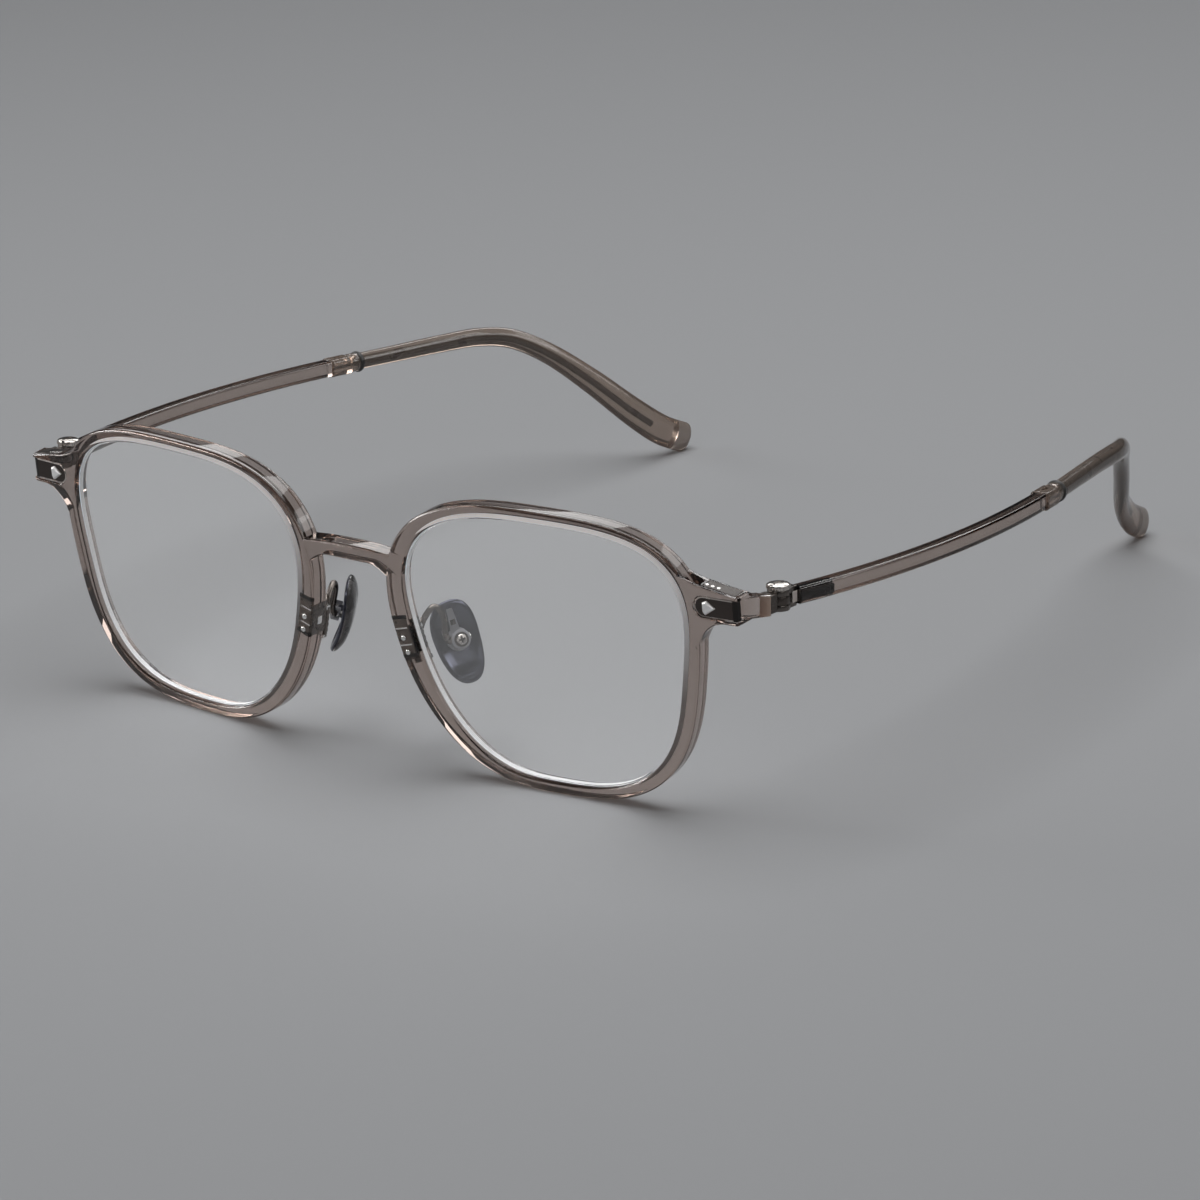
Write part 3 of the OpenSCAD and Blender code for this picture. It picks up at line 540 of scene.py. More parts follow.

# %% [markdown]
# ## The temples
# Each temple is a slim bar that bows outwards, a clear collar, a black ring and a soft tip that drops behind
# the ear. The bar follows a circle; the tip follows a line through a few given points.

# %% Bowed bars
BAR_T, BAR_H, BOW_R, BOW_MIDDLE, BAR_LEN = 2.5, 2.7, 170.0, 38.0, 67.5
BAR_EDGE, END_EASE = 0.5, 0.12
WEB_TO = KNUCKLE_R + 0.15 + 1.3
BAR_ANGLE = math.asin((BAR_LEN - BOW_MIDDLE) / BOW_R)
BOW_CENTRE_X = -BOW_R * math.cos(math.asin(BOW_MIDDLE / BOW_R))
BAR_END = np.array([BOW_CENTRE_X + BOW_R * math.cos(BAR_ANGLE), BAR_LEN, 0])


def temple_bar(side):
    x, z = BAR_T / 2, BAR_H / 2
    section = rounded([(-x, -z), (x, -z), (x, z), (-x, z)], [BAR_EDGE] * 4, 5)
    ends = section * [1 - END_EASE / x, 1 - END_EASE / z]
    angles = np.linspace(-math.asin((BOW_MIDDLE - WEB_TO - 0.1) / BOW_R), BAR_ANGLE, 120)
    step = END_EASE / BOW_R
    run = [(ends, angles[0]), (section, angles[0] + step), *[(section, t) for t in angles[1:-1]],
           (section, angles[-1] - step), (ends, angles[-1])]
    rings = [hinge_point(BOW_CENTRE_X + (BOW_R + s[:, 0]) * math.cos(t),
                         BOW_MIDDLE + (BOW_R + s[:, 0]) * math.sin(t), s[:, 1]) for s, t in run]
    return smooth(skin("bar_" + SIDES[side], rings, side), 32)


def behind_bar(x, y, z):
    """From the straight run behind the bar to the object's millimetres."""
    c, s = math.cos(BAR_ANGLE), math.sin(BAR_ANGLE)
    return hinge_point(BAR_END[0] + x * c - y * s, BAR_END[1] + x * s + y * c, z)


bars = both(temple_bar)
print("bar:", len(bars[1].data.polygons), "faces")

# %% [markdown]
# The tip is a smooth tube with an oval section: nearly round behind the ring and a flat paddle at its end. A
# spline through ten points gives its middle line, and an oval ring is set square to the line at each step.
# It is a hair thinner than the solid, so that a folded tip clears the other rim.

# %% Soft tips
COLLAR_LEN, RING_LEN = 4.3, 2.7
TIP_RUN, TIP_DROP, TIP_TURN_IN = 64.5, 23.2, 12.2
TIP_H, TIP_T, PADDLE_H, TIP_CUT, TIP_SIDES = 2.8, 3.1, 5.4, 8.5, 40
TIP_START = COLLAR_LEN + RING_LEN
FOLD_ROOM = 0.06
TIP_SHAPE = np.array([
    (0, 0, 0), (0.03, 0.14, 0), (0.06, 0.29, 0), (0.09, 0.41, 0.01), (0.23, 0.51, 0.06),
    (0.45, 0.61, 0.21), (0.68, 0.72, 0.45), (0.91, 0.83, 0.72), (0.99, 0.92, 0.9), (1, 1, 1)])
TIP_LINE = TIP_SHAPE * [-TIP_TURN_IN, TIP_RUN, -TIP_DROP] + [0, TIP_START, 0]
LAST = len(TIP_LINE) - 1
CAP_LEN, CAP_POWER = 1.64, 2.3


def curve(points, s):
    """Spline through all points; s counts the points."""
    i = min(int(math.floor(s)), len(points) - 2)
    f = s - i
    a, b, c, d = (points[max(0, min(len(points) - 1, k))] for k in (i - 1, i, i + 1, i + 2))
    return b + 0.5 * f * (c - a + f * (2 * a - 5 * b + 4 * c - d + f * (3 * b - a - 3 * c + d)))


def curve_dir(points, s):
    return unit(curve(points, min(s + 0.02, len(points) - 1)) - curve(points, max(s - 0.02, 0)))


def oval(centre, direction, h, w, count=TIP_SIDES):
    """Oval ring square to a direction; h is half its height and w half its width."""
    side = unit(np.cross(direction, [0, 0, 1.0]))
    up = np.cross(side, direction)
    a = np.radians(np.arange(count) * 360 / count)[:, None]
    return centre + side * (w * np.cos(a)) - up * (h * np.sin(a))


def half_height(s):
    return np.interp(s, (0, 3, 5, 7.5), (TIP_H, TIP_H + 0.5, TIP_H + 0.9, PADDLE_H)) / 2


def half_thick(s):
    return np.interp(s, (0, 7), (TIP_T, TIP_T - 0.3)) / 2 - FOLD_ROOM


def soft(f, s, spread=0.5):
    """A size along the tip with its kinks evened out."""
    return sum(f(min(max(s + d, 0), LAST)) for d in np.linspace(-spread, spread, 5)) / 5


def tip_ring(s):
    return oval(curve(TIP_LINE, s), curve_dir(TIP_LINE, s), soft(half_height, s), soft(half_thick, s))


def behind_bar_skin(name, rings, side):
    return skin(name, [behind_bar(*r.T) for r in rings], side)


def temple_tip(side):
    first = tip_ring(0.0)
    rings = [first.mean(0) + (first - first.mean(0)) * 0.9]
    rings += [tip_ring(s) for s in np.linspace(0.012, TIP_CUT, 110)]
    return smooth(behind_bar_skin("tip_" + SIDES[side], rings, side), 40)


def tip_cap(side):
    direction = curve_dir(TIP_LINE, LAST)
    rings = [tip_ring(s) for s in np.linspace(TIP_CUT, LAST, 8)]
    for out in (0.15, 0.4, 0.65, 0.9, 1.1, 1.3, 1.45, 1.54, 1.6):
        share = (1 - (out / CAP_LEN) ** CAP_POWER) ** (1 / CAP_POWER)
        rings.append(oval(TIP_LINE[LAST] + direction * out, direction,
                          half_height(LAST) * share, half_thick(LAST) * share))
    return smooth(above_table(behind_bar_skin("tip_cap_" + SIDES[side], rings, side)), 40)


tips, caps = both(temple_tip), both(tip_cap)
print("tip:", len(tips[1].data.polygons), "faces")

# %% [markdown]
# ## The nose pads
# A pad is a soft egg of clear silicone. The side that meets the nose is domed, and the other side is a
# shallow dish round the lug that holds the pin. It is skinned from rings like a plate is thrown: centre,
# foot, rim. The dish gets a finish of its own, dark and glossy, as the back of such a pad looks.

# %% Silicone pads
PAD_LEN, PAD_W, PAD_T, PAD_POWER, PAD_TAPER, PAD_CURL = 13.4, 7.4, 2.0, 2.5, 0.26, 0.02
PAD_FLARE, PAD_SPLAY = math.radians(20), math.radians(32)
PAD_CENTRE = np.array([11.3, 9.4 - DEPTH_MIDDLE, LENS_Z - 4.9])
PIN_X, PIN_Z, LUG_R = 1.8, 0.4, 0.62
PAD_PROFILE = np.array([(-1.05, 0.02), (-1.0, 0.45), (-0.8, 0.75), (-0.3, 0.95), (0.2, 1.0), (0.6, 0.96),
                        (0.8, 0.86), (0.62, 0.74), (0.42, 0.5), (0.36, 0.02)])


def pad_point(x, y, z):
    """From a pad's own axes (minus x faces the nose, z runs along the pad) to the object's millimetres."""
    x1 = x * math.cos(PAD_SPLAY) + y * math.sin(PAD_SPLAY)
    y1 = y * math.cos(PAD_SPLAY) - x * math.sin(PAD_SPLAY)
    return np.stack(np.broadcast_arrays(
        PAD_CENTRE[0] + x1 * math.cos(PAD_FLARE) - z * math.sin(PAD_FLARE),
        PAD_CENTRE[1] + y1, PAD_CENTRE[2] + z * math.cos(PAD_FLARE) + x1 * math.sin(PAD_FLARE)), -1)


def pad_ring(x, share, count=72):
    a = np.radians(np.arange(count) * 360 / count)
    across, along = np.abs(2 * np.cos(a) / PAD_W), np.abs(2 * np.sin(a) / PAD_LEN)
    r = (across**PAD_POWER + along**PAD_POWER) ** (-1 / PAD_POWER)
    z = r * np.sin(a)
    y = r * np.cos(a) * (1 + PAD_TAPER * z / PAD_LEN)
    y, z = y * share, z * share
    return pad_point(x + PAD_CURL * z * z, y, z)


def nose_pad(side):
    profile = [curve(PAD_PROFILE, s) for s in np.linspace(0, len(PAD_PROFILE) - 1, 40)]
    body = skin("pad_" + SIDES[side], [pad_ring(x * PAD_T / 2, share) for x, share in profile], side)
    line = np.array([(0.1, PIN_Z - 0.9), *arc((PIN_X, PIN_Z), LUG_R, -90, 90, 12), (0.1, PIN_Z + 0.9)])
    rings = []
    for y, d in ((-0.85, 0.15), (-0.75, 0), (0.75, 0), (0.85, 0.15)):
        x, z = inset(line, d).T
        rings.append(pad_point(x, y, z))
    unite(body, skin("lug", rings, side))
    middle = pad_point(0.0, 0.0, 0.0)
    out, along = pad_point(1.0, 0.0, 0.0) - middle, pad_point(0.0, 0.0, 1.0) - middle

    def is_back(face):
        from_middle = np.array(face.center) / MM * [side, 1, 1] - middle
        depth = from_middle @ out - PAD_CURL * (from_middle @ along) ** 2
        return int(face.normal @ Vector(out * [side, 1, 1]) > 0.05 and depth < 1.1)

    return smooth(paint(body, is_back), 40)


pads = both(nose_pad)
print("pad:", len(pads[1].data.polygons), "faces")

# %% [markdown]
# ## Turned and milled metal
# The hinges are small turned and milled parts. Each starts as a turned disc with a little round on its edges,
# the flat arms are joined on, and the hole is bored last, as in the workshop. They are made upright in their
# own axes and only then moved to their place, mirrored for the wearer's right.

# %% Helpers for small parts
SCREW_R, MIDDLE_H, WEB_FROM, PLAY = 0.66, HINGE_H * 0.4, KNUCKLE_R + 0.15, 0.06
EAR_H = (HINGE_H - MIDDLE_H) / 2 - 0.05


def turned(name, profile, count=64):
    """Solid of revolution about the upright axis, from pairs of radius and height."""
    ring = circle(0, 0, 1, count)
    return skin(name, [np.column_stack([ring * r, np.full(count, z)]) for r, z in profile])


def barrel(name, r, z0, z1, e=0.12):
    lower = [(r - e, z0), (r - 0.3 * e, z0 + 0.3 * e), (r, z0 + e)]
    return turned(name, lower + [(r, z1 - e), (r - 0.3 * e, z1 - 0.3 * e), (r - e, z1)])


def crosswise(line, y):
    """A line of places across and upwards, set at y."""
    return np.column_stack([line[:, 0], np.full(len(line), y), line[:, 1]])


def hoop(name, section, count=64):
    """Closed ring about the y axis, from a closed outline of radius and place along the axis."""
    r, y = np.asarray(section, float).T
    return skin(name, [np.column_stack([r * math.cos(t), y, r * math.sin(t)])
                       for t in np.radians(np.arange(count) * 360 / count)], closed=True)


def block(name, x, y, z, edge=0.12):
    return hull_of(name, box_corners(x, y, z), 1, edge)


def bored(obj, r=SCREW_R + PLAY):
    return cut(obj, turned("bore", [(r, -5), (r, 5)]))


def into_place(obj, to, side=1):
    """Moves a mesh made in its own axes to its place on the glasses."""
    mesh = obj.data
    co = np.zeros(len(mesh.vertices) * 3)
    mesh.vertices.foreach_get("co", co)
    co = to(*(co.reshape(-1, 3) / MM).T) * MM
    if side < 0:
        co = co * [-1, 1, 1]
        mesh.flip_normals()
    mesh.vertices.foreach_set("co", co.ravel())
    mesh.update()
    return obj


def joined(name, *parts):
    """One mesh from several, which keep the places in the list of finishes that they have."""
    bm = bmesh.new()
    for part in parts:
        bm.from_mesh(part.data)
        bpy.data.objects.remove(part)
    return from_bmesh(name, bm)


def join(name, *parts):
    """One mesh from several; each part takes its own place in the list of finishes."""
    return joined(name, *[paint(part, i) for i, part in enumerate(parts)])


print("hinge: middle knuckle", round(MIDDLE_H, 3), "mm high, ears", round(EAR_H, 3), "mm")

# %% [markdown]
# The middle knuckle belongs to the front and the two ears to the temple. The ears sit on a web, from which a
# flat core plate runs into the clear bar, where it shows as a dark tongue. A pale patch on the web's outer
# side is a painted highlight.

# %% Knuckles, ears and the core plate
CORE_TURN, CORE_X, CORE_LOW, CORE_HIGH, CORE_FAR, CORE_R = math.radians(-11.1), 0.685, -1.05, 0.55, 7.4, 0.35


def front_knuckle(side):
    tang = block("tang", (-0.95, 0.95), (-KNUCKLE_R - 0.4, -1), (-0.62, 0.62), 0.08)
    root = block("root", (-1.2, 1.2), (-KNUCKLE_R - 1.88, -KNUCKLE_R - 0.12), (-1.45, 1.45), 0.18)
    whole = unite(barrel("knuckle", KNUCKLE_R, -MIDDLE_H / 2, MIDDLE_H / 2), tang, root)
    return smooth(into_place(bored(whole), hinge_point, side), 35)


def core_plate():
    """Flat plate inside the bar, rounded at its far end; it leans with the bow of the bar."""
    c, s, r = math.cos(CORE_TURN), math.sin(CORE_TURN), CORE_R
    flat = [(-0.5, CORE_LOW), (-0.5, CORE_HIGH), *arc((CORE_FAR - r, CORE_LOW + r), r, -90, 0, 6),
            *arc((CORE_FAR - r, CORE_HIGH - r), r, 0, 90, 6)]
    return hull_of("core", [(x * c - y * s + CORE_X, x * s + y * c + WEB_TO, z)
                            for x in (-0.45, 0.45) for y, z in flat], 1, 0.12)


def rear_knuckles(side):
    half = BAR_T / 2 - 0.1
    whole = block("web", (-half, half), (WEB_FROM, WEB_TO), (-HINGE_H / 2, HINGE_H / 2), 0.2)
    for z in (MIDDLE_H / 2 + 0.05, -HINGE_H / 2):
        unite(whole, barrel("ear", KNUCKLE_R, z, z + EAR_H),
              block("ear_arm", (-half, half), (0, WEB_FROM + 0.6), (z, z + EAR_H), 0.1))
    whole = unite(bored(whole), core_plate())
    paint(whole, lambda face: int(face.center.y / MM > WEB_TO + 0.01))
    # Painted highlight: a pale patch on the web's outer side.
    window = block("window", (half - 0.1, half + 0.04), (WEB_FROM + 0.08, WEB_TO - 0.08), (-0.95, 0.8), 0.05)
    return smooth(into_place(joined("rear_hinge", whole, paint(window, 2)), hinge_point, side), 35)


front_hinges, rear_hinges = both(front_knuckle), both(rear_knuckles)
print("hinge:", len(rear_hinges[1].data.polygons), "faces")

# %% [markdown]
# ## Ribs round the screw heads
# The head of the hinge screw is knurled, so that it can be turned by hand. Knurls are the same rib many times
# over, which is work for a node tree: it puts points on a circle, sets a tapered rib on each one, each a
# trifle taller or shorter than the next, and joins them to the head. A second tree sets a row of pins the
# same way. Both make their copies real and give them their finish at the end.

# %% Two node trees for what repeats
RIB_TAPER, PIN_TAPER, RIB_SIDES, PIN_SIDES = 0.7, 0.75, 10, 20


def feed(node, inputs):
    """Sets each input: to a value, or with a link where it is given another node's output."""
    for key, value in inputs.items():
        if isinstance(value, bpy.types.NodeSocket):
            node.id_data.links.new(value, node.inputs[key])
        else:
            node.inputs[key].default_value = value


def add(tree, kind, inputs=None, out=0, **settings):
    """Adds a node and returns one of its outputs."""
    node = tree.nodes.new(kind)
    for key, value in settings.items():
        setattr(node, key, value)
    feed(node, inputs or {})
    return node.outputs[out] if len(node.outputs) else None


def times(tree, value, factor):
    return add(tree, "ShaderNodeMath", {0: value, 1: factor}, operation="MULTIPLY")


def growth(name, inputs):
    """A geometry node tree with named inputs, and what it is given."""
    tree = bpy.data.node_groups.new(name, "GeometryNodeTree")
    for way in ("INPUT", "OUTPUT"):
        tree.interface.new_socket(name="Geometry", in_out=way, socket_type="NodeSocketGeometry")
    for label, kind, value in inputs:
        socket = tree.interface.new_socket(name=label, in_out="INPUT", socket_type="NodeSocket" + kind)
        if value is not None:
            socket.default_value = value
    return tree, tree.nodes.new("NodeGroupInput").outputs


def ended(tree, given, geometry):
    """Makes the copies real, gives them their finish and puts them out."""
    real = add(tree, "GeometryNodeRealizeInstances", {"Geometry": geometry})
    painted = add(tree, "GeometryNodeSetMaterial", {"Geometry": real, "Material": given["Finish"]})
    add(tree, "NodeGroupOutput", {"Geometry": painted})
    return tree


def cone(tree, sides, radius, taper, height):
    return add(tree, "GeometryNodeMeshCone", {
        "Vertices": sides, "Radius Bottom": radius, "Radius Top": times(tree, radius, taper), "Depth": height})


def moved_up(tree, geometry, height):
    return add(tree, "GeometryNodeTransform", {
        "Geometry": geometry, "Translation": add(tree, "ShaderNodeCombineXYZ", {"Z": height})})


def ring_of_ribs():
    tree, given = growth("Ring of ribs", [
        ("Ribs", "Int", 24), ("Radius", "Float", 0.0018), ("Rib radius", "Float", 0.0001),
        ("Rib height", "Float", 0.0005), ("Height", "Float", 0.002), ("Unevenness", "Float", 0.06),
        ("Seed", "Int", 7), ("Finish", "Material", None)])
    points = add(tree, "GeometryNodeMeshCircle", {"Vertices": given["Ribs"], "Radius": given["Radius"]})
    rib = cone(tree, RIB_SIDES, given["Rib radius"], RIB_TAPER, given["Rib height"])
    least, most = (add(tree, "ShaderNodeMath", {0: 1.0, 1: given["Unevenness"]}, operation=how)
                   for how in ("SUBTRACT", "ADD"))
    size = add(tree, "FunctionNodeRandomValue", {2: least, 3: most, "Seed": given["Seed"]}, 1, data_type="FLOAT")
    ribs = add(tree, "GeometryNodeInstanceOnPoints", {
        "Points": moved_up(tree, points, given["Height"]),
        "Instance": moved_up(tree, rib, times(tree, given["Rib height"], -0.5)), "Scale": size})
    whole = add(tree, "GeometryNodeJoinGeometry", {"Geometry": given["Geometry"]})
    feed(whole.node, {"Geometry": ribs})
    return ended(tree, given, whole)


def row_of_pins():
    tree, given = growth("Row of pins", [
        ("Pins", "Int", 4), ("Start", "Vector", None), ("Step", "Vector", None),
        ("Pin radius", "Float", 0.0003), ("Pin height", "Float", 0.0002), ("Finish", "Material", None)])
    line = add(tree, "GeometryNodeMeshLine", {
        "Count": given["Pins"], "Start Location": given["Start"], "Offset": given["Step"]}, mode="OFFSET")
    pin = cone(tree, PIN_SIDES, given["Pin radius"], PIN_TAPER, given["Pin height"])
    return ended(tree, given, add(tree, "GeometryNodeInstanceOnPoints", {"Points": line, "Instance": pin}))


def grow(obj, tree, values):
    """Runs a node tree over a mesh and keeps what comes out as its plain mesh."""
    modifier = obj.modifiers.new("grow", "NODES")
    modifier.node_group = tree
    for item in tree.interface.items_tree:
        if item.in_out == "INPUT" and item.name in values:
            modifier[item.identifier] = values[item.name]
    return settled(obj)


RIBS, PINS = ring_of_ribs(), row_of_pins()
print("node trees:", RIBS.name, len(RIBS.nodes), "-", PINS.name, len(PINS.nodes))

# %% [markdown]
# The screw is turned in one piece: a shank through all the knuckles and a low domed head with a slot. It is
# made together with its finish, further down, since its ribs take the finish from the node tree.

# %% Knurled screws
HEAD_R, HEAD_LOW = 1.78, HINGE_H / 2
HEAD_PROFILE = [(1.62, 0), (1.74, 0.05), (HEAD_R, 0.15), (HEAD_R, 0.62), (1.72, 0.75), (1.58, 0.84), (1.3, 0.92),
                (0.9, 0.97), (0.5, 0.99), (0.04, 1.0)]


def hinge_screw(side, finish):
    shank = [(0.5, -HEAD_LOW), (SCREW_R, -HEAD_LOW + 0.15), (SCREW_R, HEAD_LOW)]
    head = turned("screw_" + SIDES[side], shank + [(r, HEAD_LOW + z) for r, z in HEAD_PROFILE])
    head = cut(head, block("slot", (-0.15, 0.15), (-1.25, 1.25), (HEAD_LOW + 0.78, HEAD_LOW + 1.3), 0))
    smooth(head, 30)
    head = grow(head, RIBS, {
        "Ribs": 26, "Radius": HEAD_R * MM, "Rib radius": 0.11 * MM, "Rib height": 0.5 * MM,
        "Height": (HEAD_LOW + 0.38) * MM, "Unevenness": 0.05, "Seed": 7, "Finish": finish})
    return into_place(head, hinge_point, side)


print("screw head:", 2 * HEAD_R, "mm across")

# %% [markdown]
# ## Plates, rivets and inserts of the end pieces
# A dark plate lies in the pocket and turns round the outer corner, where its bend is painted near black as
# painted shade. A kite-shaped rivet holds it, and a strip with small pins is let into the top face. All have
# eased edges, which catch the light as fine lines; the plate's eased edges are painted a lighter steel as a
# painted highlight.

# %% End pieces' metal
KITE = np.array([(-0.85, -0.65), (-0.35, -1.2), (1.35, 0), (-0.1, 1.1), (-0.85, 0.75)])
KITE_LAYERS = ((0.32, 0.0), (0.1, 0.0), (-0.06, 0.16), (-0.13, 0.34))
RIVET_FROM_END, PLATE_CORNER, PLATE_FACE = 5.9, END_REACH - 1.6, 0.28


def end_plate(side):
    r, back = POCKET_H / 2 - SEAT, POCKET_DEEP - SEAT
    blind_end = arc((POCKET_FROM + r + SEAT, END_RISE), r, 90, 270, 32)
    line = np.array([*blind_end, (PLATE_CORNER + 0.05, END_RISE - r), (PLATE_CORNER + 0.05, END_RISE + r)])
    rings = []
    for b, d in ((PLATE_FACE, 0.2), (PLATE_FACE + 0.1, 0.0), (back, 0.0)):
        moved = inset(line, d)
        moved[-2:] = line[-2:] + [[0, d], [0, -d]]
        rings.append(at_depth(moved, b))
    forward = Vector(unit(front_point(0.0, 1.0, 0.0) - front_point(0.0, 0.0, 0.0)) * [side, 1, 1])
    # The plate's eased edges take the lighter steel, a painted highlight along them.
    flat = paint(skin("plate", rings, side), lambda face: int(0.2 < abs(face.normal @ forward) < 0.97))
    plan = [(PLATE_CORNER, back), (PLATE_CORNER, PLATE_FACE), *end_plan(PLATE_FACE), *end_plan(back)[::-1]]
    # The turned corner is painted near black, painted shade at the plate's bend.
    corner_shade = paint(prism("plate_corner", plan, END_RISE - r, END_RISE + r, side), 2)
    return smooth(joined("end_plate", flat, corner_shade), 35)


def end_rivet(side):
    middle = END_REACH - RIVET_FROM_END
    kite = (KITE if side > 0 else KITE[::-1] * [-1, 1]) + [middle, END_RISE]
    head = skin("rivet_head", [at_depth(inset(kite, d), b) for b, d in KITE_LAYERS], side)
    return smooth(unite(head, disc("rivet_shank", middle, END_RISE, 0.6, 0.2, 1.5, side)), 12)


def end_strip(side):
    return smooth(into_place(block("strip", STRIP_ALONG, STRIP_ACROSS, STRIP_UP, 0.1), on_top, side), 35)


def end_pins(finish):
    """The pins of both strips as one mesh, since both belong to the front."""
    rows = []
    for side in SIDES:
        row = grow(new_mesh("pins", [(0, 0, 0)], []), PINS, {
            "Pins": 3, "Start": (-5.5 * MM, 1.3 * MM, -0.1 * MM), "Step": (1.0 * MM, 0, 0),
            "Pin radius": 0.36 * MM, "Pin height": 0.14 * MM, "Finish": finish})
        rows.append(into_place(row, on_top, side))
    return smooth(join("end_pins", *rows), 30)


plates, rivets, strips = both(end_plate), both(end_rivet), both(end_strip)
print("plate:", len(plates[1].data.polygons), "faces")

# %% [markdown]
# ## Collar, ring and wire
# Behind the bar a clear collar with a window in its top hides the joint, then comes a short sleeve with a
# thin black ring at its end, and from there the wire core runs on inside the soft tip.

# %% Joint of bar and tip
CORE_HOLE, SPLIT = 0.87, COLLAR_LEN + 1.75
COLLAR_EASE = ((0.06, 0.9), (0.1, 0.96), (0.2, 1.0))
WIRE_LINE = np.concatenate([[(0, COLLAR_LEN * 0.23, 0), (0, TIP_START / 2, 0)], TIP_LINE])
WIRE_TO, WIRE_HALF_H, WIRE_HALF_T = 9.6, 0.5, 0.4


def tube_bore(u, v, r, y0, y1):
    """A round tool that bores along y."""
    return skin("bore", [crosswise(circle(u, v, r, 36), y) for y in (y0, y1)])


def collar(side):
    x, z = TIP_T / 2 + 0.1, TIP_H / 2 + 0.1
    section = rounded([(-x, -z), (x, -z), (x, z), (-x, z)], [0.75] * 4, 6)
    stations = [*COLLAR_EASE, *[(COLLAR_LEN - y, share) for y, share in COLLAR_EASE[::-1]]]
    body = skin("collar", [crosswise(section * share, y) for y, share in stations])
    body = cut(body, tube_bore(0, 0, CORE_HOLE, -1, 6))
    body = cut(body, block("window", (-0.4, 0.4), (1.4, 3.0), (0, 5), 0.1))
    return smooth(into_place(body, behind_bar, side), 35)


def ring_and_sleeve(side):
    y0, y1 = COLLAR_LEN + 0.05, COLLAR_LEN + RING_LEN - 0.05
    parts = []
    for name, r, start, stop, radii, steps in (("sleeve", 1.62, y0, SPLIT, [0, 0.25, 0.1, 0], 4),
                                               ("band", 1.8, SPLIT, y1, [0, 0.35, 0.35, 0], 5)):
        section = rounded([(CORE_HOLE, start), (r, start), (r, stop), (CORE_HOLE, stop)], radii, steps)
        parts.append(smooth(hoop(name, section), 40))
    return into_place(join("ring", *parts), behind_bar, side)


def wire(side):
    rings = [oval(curve(WIRE_LINE, s), curve_dir(WIRE_LINE, s), WIRE_HALF_H, WIRE_HALF_T, 24)
             for s in np.linspace(0, WIRE_TO, 110)]
    return smooth(behind_bar_skin("wire", rings, side), 40)


collars, rings_black, wires = both(collar), both(ring_and_sleeve), both(wire)
print("collar:", len(collars[1].data.polygons), "faces")

# %% [markdown]
# ## Brackets and arms of the nose pads
# A metal bracket wraps the nasal side of each rim. In front it lies just under the surface of the plastic, so
# it is seen as a dark band inside the rim; behind the rim it ends in a ribbed plate that carries the arm.

# %% Brackets
CLIP_TOP, CLIP_LOW = 173.5, 188.5
CLIP_SCREW = [(0.42, -0.2), (0.45, 0.05), (0.43, 0.14), (0.36, 0.22), (0.24, 0.27), (0.1, 0.29), (0.01, 0.295)]


def strip(name, a0, a1, n0, n1, b0, b1, r=0.1, steps=16, rib=0.0, ribs=5):
    """Band along the rim between two angles; n0 from the lens opening, n1 from the rim's outer edge."""
    rings = []
    for f in np.linspace(0, 1, steps + 1):
        a = mix(a0, a1, f)
        w = float(rim_width(a))
        dent = rib * (0.5 - 0.5 * math.cos(2 * math.pi * ribs * f))
        corners = [(n0, b0 + dent), (w + n1, b0 + dent), (w + n1, b1 - dent), (n0, b1 - dent)]
        s = rounded(corners, [r] * 4, 3)
        rings.append(rim_point(np.full(len(s), a), s[:, 0], s[:, 1]))
    return skin(name, rings)


def strips_at(places, name, length, *sizes):
    return [strip(name, a, a + length, *sizes) for a in places]


def bracket(side):
    back, behind = RIM_DEPTH + 0.02, RIM_DEPTH + 0.8
    front_plate = strip("front_plate", CLIP_TOP, CLIP_LOW, 0.75, -0.12, 0.22, 0.5)
    wrap_plate = strip("wrap_plate", CLIP_TOP + 3, CLIP_LOW, RIM_FACE + 0.95, -0.1, 0.3, RIM_DEPTH + 0.2)
    back_plate = strip("back_plate", CLIP_TOP + 6, CLIP_LOW + 3, 0.6, 0.02, back, behind, 0.12, 60, 0.12)
    frames = strips_at((CLIP_TOP - 0.2, CLIP_LOW - 1.1), "edge", 1.3, 0.7, -0.08, 0.16, 0.56, 0.05, 3)
    # The two short bright strips across the bracket are painted highlights.
    lights = strips_at((CLIP_TOP + 4.2, CLIP_TOP + 10.4), "light", 0.5, 0.95, -0.3, 0.15, 0.4, 0.05, 2)
    ends = strips_at((CLIP_TOP + 5.4, CLIP_LOW + 2.0), "end", 1.4, 0.5, 0.02, RIM_DEPTH, behind, 0.12, 4)
    pane = strip("pane", CLIP_TOP + 8.2, CLIP_TOP + 11.2, RIM_FACE + 1.2, 0.02, 1.5, 2.5, 0.08, 4)
    groups = [front_plate], [wrap_plate, back_plate], [*lights, *ends, pane], frames
    whole = join("bracket", *[join("group", *group) for group in groups])
    return smooth(into_place(whole, lambda x, y, z: np.stack([x, y, z], -1), side), 35)


def bracket_screws(side):
    parts = []
    for a in (CLIP_LOW - 7, CLIP_LOW - 1.8):
        centre = rim_point(a, float(rim_width(a)) * 0.6, 0.0)
        head = cut(turned("head", CLIP_SCREW, 32), block("slot", (-0.06, 0.06), (-0.6, 0.6), (0.2, 0.4), 0))
        parts.append(into_place(head, lambda x, y, z, c=centre: c + np.stack([x, -z, y], -1), side))
    return smooth(join("bracket_screws", *parts), 35)


brackets, clip_heads = both(bracket), both(bracket_screws)
print("bracket:", len(brackets[1].data.polygons), "faces")
